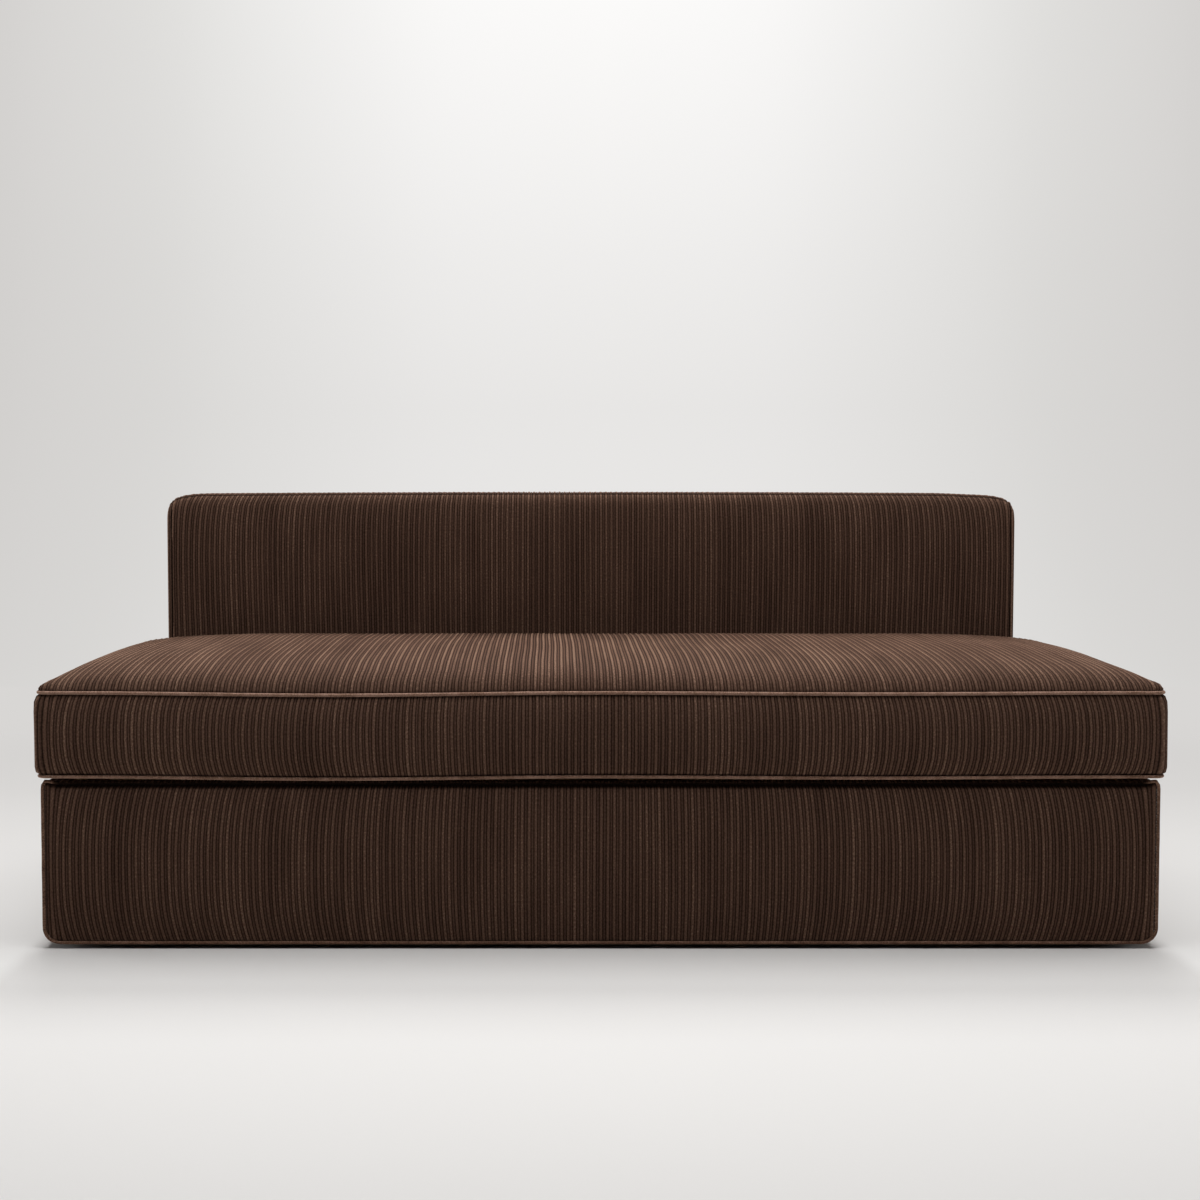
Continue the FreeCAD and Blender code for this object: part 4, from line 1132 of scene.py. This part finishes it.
def panel_edges(cover, low, high, seed):
    """The band of cloth round a panel, from its rear to its face."""
    loop, distance = loop_of(low[[0, 2]], high[[0, 2]], base_low_radius, base_high_radius)
    around, ribs = wales(distance[-1], seed)
    place, outward = along_loop(loop, distance, around)
    share = np.array([0, 0.12, 0.3, 0.7, 0.88, 1])[:, None]
    y = high[1] + share * (low[1] + edge_drop - high[1])
    puff = edge_puff * (1 - np.abs(2 * share - 1) ** 2)
    x = place[:, 0] + outward[:, 0] * puff
    z = place[:, 1] + outward[:, 1] * puff
    grid = np.stack(np.broadcast_arrays(x, y, z), -1)
    pile = ribs * ease(np.minimum(share, 1 - share) / 0.15)
    return cover.panel(grid, around + 3.0, y, pile, ring=1)


def board_pocket(cover, low, high, board_low, board_high):
    """The hollow that the board fills. Returns its rim."""
    left, right = board_low[0] - spare, board_high[0] + spare
    floor_z, roof_z = board_low[2] - spare, board_high[2] + spare
    corners = [(left, 0, floor_z), (right, 0, floor_z), (right, 0, roof_z), (left, 0, roof_z)]
    pad = min(abs(board_low[1] - low[1]), abs(high[1] - board_high[1]))
    pad = max(pad, (high[1] - low[1]) - (board_high[1] - board_low[1]) - pad)
    pocket = [np.array(corners) + (0, level, 0) for level in (low[1] + pad, high[1])]
    numbers = cover.put(np.stack(pocket), np.array([0, 0, 0.8]))
    cover.weave(np.concatenate([numbers, numbers[:, :1]], 1))
    cover.faces.append(numbers[0, ::-1].tolist())
    return numbers[1]


def base_panel(name, node, body, seed, turned):
    """A padded panel that faces the front. turned swings it round to face the rear."""
    low, high = box_of(node)
    board_low, board_high = box_of(node.replace("cover", "board"))
    turn = low[1] + high[1] if turned else None
    cover = Cover()
    face = panel_face(cover, low, high, seed)
    edges = panel_edges(cover, low, high, seed + 3)
    cover.sew(edges[-1, :-1], rim_of(face), (0, 2))
    pocket = board_pocket(cover, low, high, board_low, board_high)
    cover.sew(pocket, edges[0, :-1], (0, 2))
    cover.make(name, ribbed_brown, body, node, turn)


base_panel("front_panel_cover", "front_cover", "seat", 51, False)
base_panel("rear_panel_cover", "rear_cover", "base", 61, True)

# %% [markdown]
# The sides are the same padding round a long board, but open at their ends, which
# butt against the front and the rear panel. The cloth runs up the outside and over
# the board's top edge.

# %% Base sides
side_shoulder = 7 * mm
side_bow = 9 * mm
side_bulge = 4 * mm


def base_side(name, node, seed, turned):
    """A side cover that faces +X. turned swings it round to face -X."""
    low, high = box_of(node)
    board_low, board_high = box_of(node.replace("cover", "board"))
    outer = max(abs(low[0]), abs(high[0]))
    inner = min(abs(low[0]), abs(high[0]))
    face_x = max(abs(board_low[0]), abs(board_high[0]))
    lip = board_high[2]
    turn = low[1] + high[1] if turned else None
    edge_x = outer - edge_drop
    profile = [(face_x, low[2]), ((face_x + edge_x) / 2, low[2]), (edge_x, low[2])]
    profile += [(outer - 0.35 * edge_drop, low[2] + 0.35 * edge_drop)]
    outer_rows = np.linspace(low[2] + edge_drop, high[2] - side_shoulder, 14)
    profile += [(outer, level) for level in outer_rows]
    for t in np.radians([18, 36, 54, 72, 90]):
        shoulder_x = outer - side_shoulder * (1 - math.cos(t))
        profile.append((shoulder_x, high[2] - side_shoulder * (1 - math.sin(t))))
    profile += [(0.5 * (inner + outer), high[2]), (inner, high[2])]
    flat_from = len(profile)
    profile += [(inner, lip), (face_x, lip), (face_x, 0.5 * (lip + low[2])), profile[0]]
    profile = np.array(profile)
    across, heights = wales(high[1] - low[1], seed)
    middle = (low[1] + high[1]) / 2
    level = np.clip((profile[:, 1:] - low[2]) / (high[2] - low[2]), 0, 1)
    bow = side_bow * np.abs(2 * level - 1) ** 2.6
    y = low[1] + across + 0 * level
    lean = end_weight(y - middle, middle - low[1], 0.4, 0.05)
    y = y + bow * lean
    y = y + 0.7 * mm * drift(y, level, 0.25, 1.6, seed + 1) * np.abs(lean)
    on_face = (profile[:, :1] > outer - 0.1 * mm).astype(float)
    puff = side_bulge * on_face * (1 - np.abs(2 * level - 1) ** 2.2)
    x = profile[:, :1] + puff + 0 * y
    z = profile[:, 1:] + 0 * y
    pile = heights + 0 * level
    pile[flat_from:] = 1
    pile[0] = pile[-1] = 1
    cover = Cover()
    numbers = cover.panel(np.stack([x, y, z], -1), y + 12.0, z, pile, ring=0)
    cover.faces.append(numbers[:-1, 0].tolist())
    cover.faces.append(numbers[-2::-1, -1].tolist())
    cover.make(name, ribbed_brown, "base", node, turn)


base_side("right_side_cover", "side_cover_right", 71, False)
base_side("left_side_cover", "side_cover_left", 81, True)

# %% [markdown]
# The front and the rear panel are piped all round. The piping follows their edge in
# under the cushion and stands up with its corners. Its colour is darkened a little
# all round, and darker still where it runs in under the cushion: painted shade. Each
# side has one straight row along the floor.

# %% Piping of the base
slimmer = 0.5 * mm
least_darkening = 0.3
low_row_lift = 1.2 * mm
tucked_drop = 2 * mm
for name, node, body, upward in (
    ("front_panel_piping", "front_welt", "seat", -1),
    ("rear_panel_piping", "rear_welt", "base", 1),
):
    low, high = box_of(node)
    middle = (low + high) / 2
    low = low + cad_welt_radius + slimmer
    high = high - cad_welt_radius - slimmer
    inset = box_of(node.replace("welt", "cover"))[1][0] - high[0]
    radii = (base_low_radius - inset, base_high_radius - inset)
    place, outward = piping_loop(low[[0, 2]], high[[0, 2]], *radii)
    on_top = ease((outward[:, 1] - 0.3) / 0.5)
    tuck = tucked_share(high[0] - np.abs(place[:, 0])) * on_top
    depth = middle[1] - upward * top_tuck * tuck
    lift = low_row_lift * ease((-outward[:, 1] - 0.6) / 0.4) - tucked_drop * tuck
    lift = lift + corner_rise * (on_top - tuck)
    path = np.column_stack([place[:, 0], depth, place[:, 1] + lift])
    sideways = np.column_stack([outward[:, 0], 0 * depth, outward[:, 1]])
    # Painted shade: the colour darkens where the piping is tucked in under the cushion.
    darkening = np.maximum(tuck, least_darkening)
    if upward > 0:
        path, sideways, darkening = path[::-1], sideways[::-1], darkening[::-1]
    piping(name, path, sideways, (0, upward, 0), body, node, darkening=darkening)

for side, label in ((1, "right"), (-1, "left")):
    node = f"side_welt_{label}"
    low, high = box_of(node)
    middle = (low + high) / 2
    y = np.linspace(low[1], high[1], 150)[::side]
    path = np.column_stack([0 * y + middle[0], y, 0 * y + middle[2]])
    sideways = np.column_stack([0 * y + side, 0 * y, 0 * y])
    piping(f"side_piping_{label}", path, sideways, (0, 0, 1), "base", node, closed=False)

# %% [markdown]
# ## Timber, metal and plastic
#
# Everything under the cloth keeps its CAD shape and gets the finish of its
# material. Grain is a noise with three streaks to 50 mm of width, stretched to 400 mm
# along each piece. Plywood also shows its plies as thin stripes across the board's
# thickness; real plies are 1.5 mm, about the finest that can show here. A slat's
# upper face is one whole ply, and its ramp starts lower so that this ply is the
# light one.


# %% Timber finish
grain_width = 50 * mm / 3
grain_length = 400 * mm
ply_thickness = 1.5 * mm
ply_contrast = 0.22


def timber(name, tones, along, ply=None):
    """Wood with its grain along axis 0, 1 or 2. ply is the axis across its layers."""
    material, tree, shader = new_material(name, {"Roughness": 0.55})
    place = add(tree, "TexCoord").outputs["Object"]
    stretch = [1 / grain_width] * 3
    stretch[along] = 1 / grain_length
    scaled = add(tree, "Mapping", {"Vector": place, "Scale": stretch})
    links = {"Vector": scaled, "Scale": 1.0, "Detail": 6.0, "Distortion": 0.6}
    grain = add(tree, "TexNoise", links)
    tone = grain
    if ply is not None:
        tone = add(tree, "SeparateXYZ", {0: place}).outputs[ply]
        for operation, value in (("PINGPONG", 2 * ply_thickness), ("GREATER_THAN", ply_thickness)):
            tone = add(tree, "Math", {0: tone, 1: value}, operation=operation)
        links = {0: tone, 1: -ply_contrast, 2: grain}
        tone = add(tree, "Math", links, operation="MULTIPLY_ADD")
    surface(tree, shader, tone, tones, grain, 0.25, 0.4 * mm)
    return material


birch_tones = [(0.2, "#b08a5c"), (0.5, "#d9bb8c"), (0.8, "#e6cda3")]
beech_tones = [(0.25, "#b07f54"), (0.5, "#cfa273"), (0.8, "#dcb488")]
slat_tones = [(0.0, "#b08a5c"), (0.28, "#d9bb8c"), (0.58, "#e6cda3")]
ply_along_x = timber("birch_plywood", birch_tones, 0, ply=1)
ply_along_y = timber("birch_plywood_sideways", birch_tones, 1, ply=0)
beech = [timber(f"beech_{axis}", beech_tones, n) for n, axis in enumerate("xyz")]
slat_beech = timber("bent_beech_veneer", slat_tones, 0, ply=2)
print("timber", ply_along_x.name, ply_along_y.name, beech[0].name, slat_beech.name)

# %% [markdown]
# Zinc plate is a bright but slightly cloudy metal; black powder coat is a plastic
# skin with a fine orange peel; acetal and nylon are smooth and a little waxy;
# rubber and felt are matt.


# %% Metal, plastic, rubber and felt
def solid(name, dark, light, size, roughness, metallic=0.0, relief=0.0):
    """A plain material that wavers between two tones over patches of that size."""
    constants = {"Roughness": roughness, "Metallic": metallic}
    material, tree, shader = new_material(name, constants)
    place = add(tree, "TexCoord").outputs["Object"]
    noise = add(tree, "TexNoise", {"Vector": place, "Scale": 1 / size, "Detail": 3.0})
    surface(tree, shader, noise, [(0.3, dark), (0.7, light)], noise, 0.4, relief)
    return material


zinc = solid("zinc_plated_steel", "#a9acae", "#c6c9cb", 9 * mm, 0.35, metallic=1.0)
black_steel = solid("black_powder_coat", "#17181a", "#232426", 2 * mm, 0.5, relief=0.1 * mm)
acetal = solid("white_acetal", "#dcdad2", "#ebe9e2", 12 * mm, 0.35)
nylon = solid("grey_nylon", "#8d8c88", "#a3a29d", 10 * mm, 0.4)
rubber = solid("black_rubber", "#141414", "#202020", 6 * mm, 0.8, relief=0.1 * mm)
felt = solid("grey_felt", "#4c4a48", "#6a6764", 1.5 * mm, 0.95, relief=0.5 * mm)
zip_nylon = solid("brown_nylon_zip", "#2a1d18", "#3b2a23", 3 * mm, 0.5, relief=0.1 * mm)
zip_fastener.data.materials.append(zip_nylon)
print("metal", zinc.name, black_steel.name)

# %% [markdown]
# Each piece that keeps its CAD shape is named once, under its finish. Boards and
# rails take the grain along their own length, as a joiner cuts them.

# %% Finishes for the CAD nodes
sides = ("left", "right")
cross_rails = "front_stretcher rear_stretcher rest_rail front_rail middle_rail rear_rail"
cross_rails += " tail_rail back_foot_rail back_top_rail"
long_rails = "ledger_left ledger_right side_rail_left side_rail_right"
zinc_parts = "runner_fixed runner_middle runner_moving plate_bolts roller_axle pivot_pin"
finishes = {
    ply_along_x: ["front_board", "rear_board"],
    ply_along_y: ["side_board_left", "side_board_right"],
    beech[0]: cross_rails.split(),
    beech[1]: long_rails.split(),
    beech[2]: ["back_stile_left", "back_stile_centre", "back_stile_right"],
    slat_beech: ["seat_slats"],
    nylon: [f"glide_{end}_{side}" for end in ("front", "rear") for side in sides],
    felt: ["rest_strip"],
    zinc: [f"{part}_{side}" for part in zinc_parts.split() for side in sides],
    black_steel: [f"{part}_{side}" for part in ("pivot_plate", "roller_bracket") for side in sides],
    acetal: ["pivot_bush_left", "pivot_bush_right"],
    rubber: ["roller_left", "roller_right"],
}
for material, names in finishes.items():
    for name in names:
        materials = nodes[name].data.materials
        materials.clear()
        materials.append(material)
print(sum(map(len, finishes.values())), "CAD nodes finished of", len(nodes))

# %% [markdown]
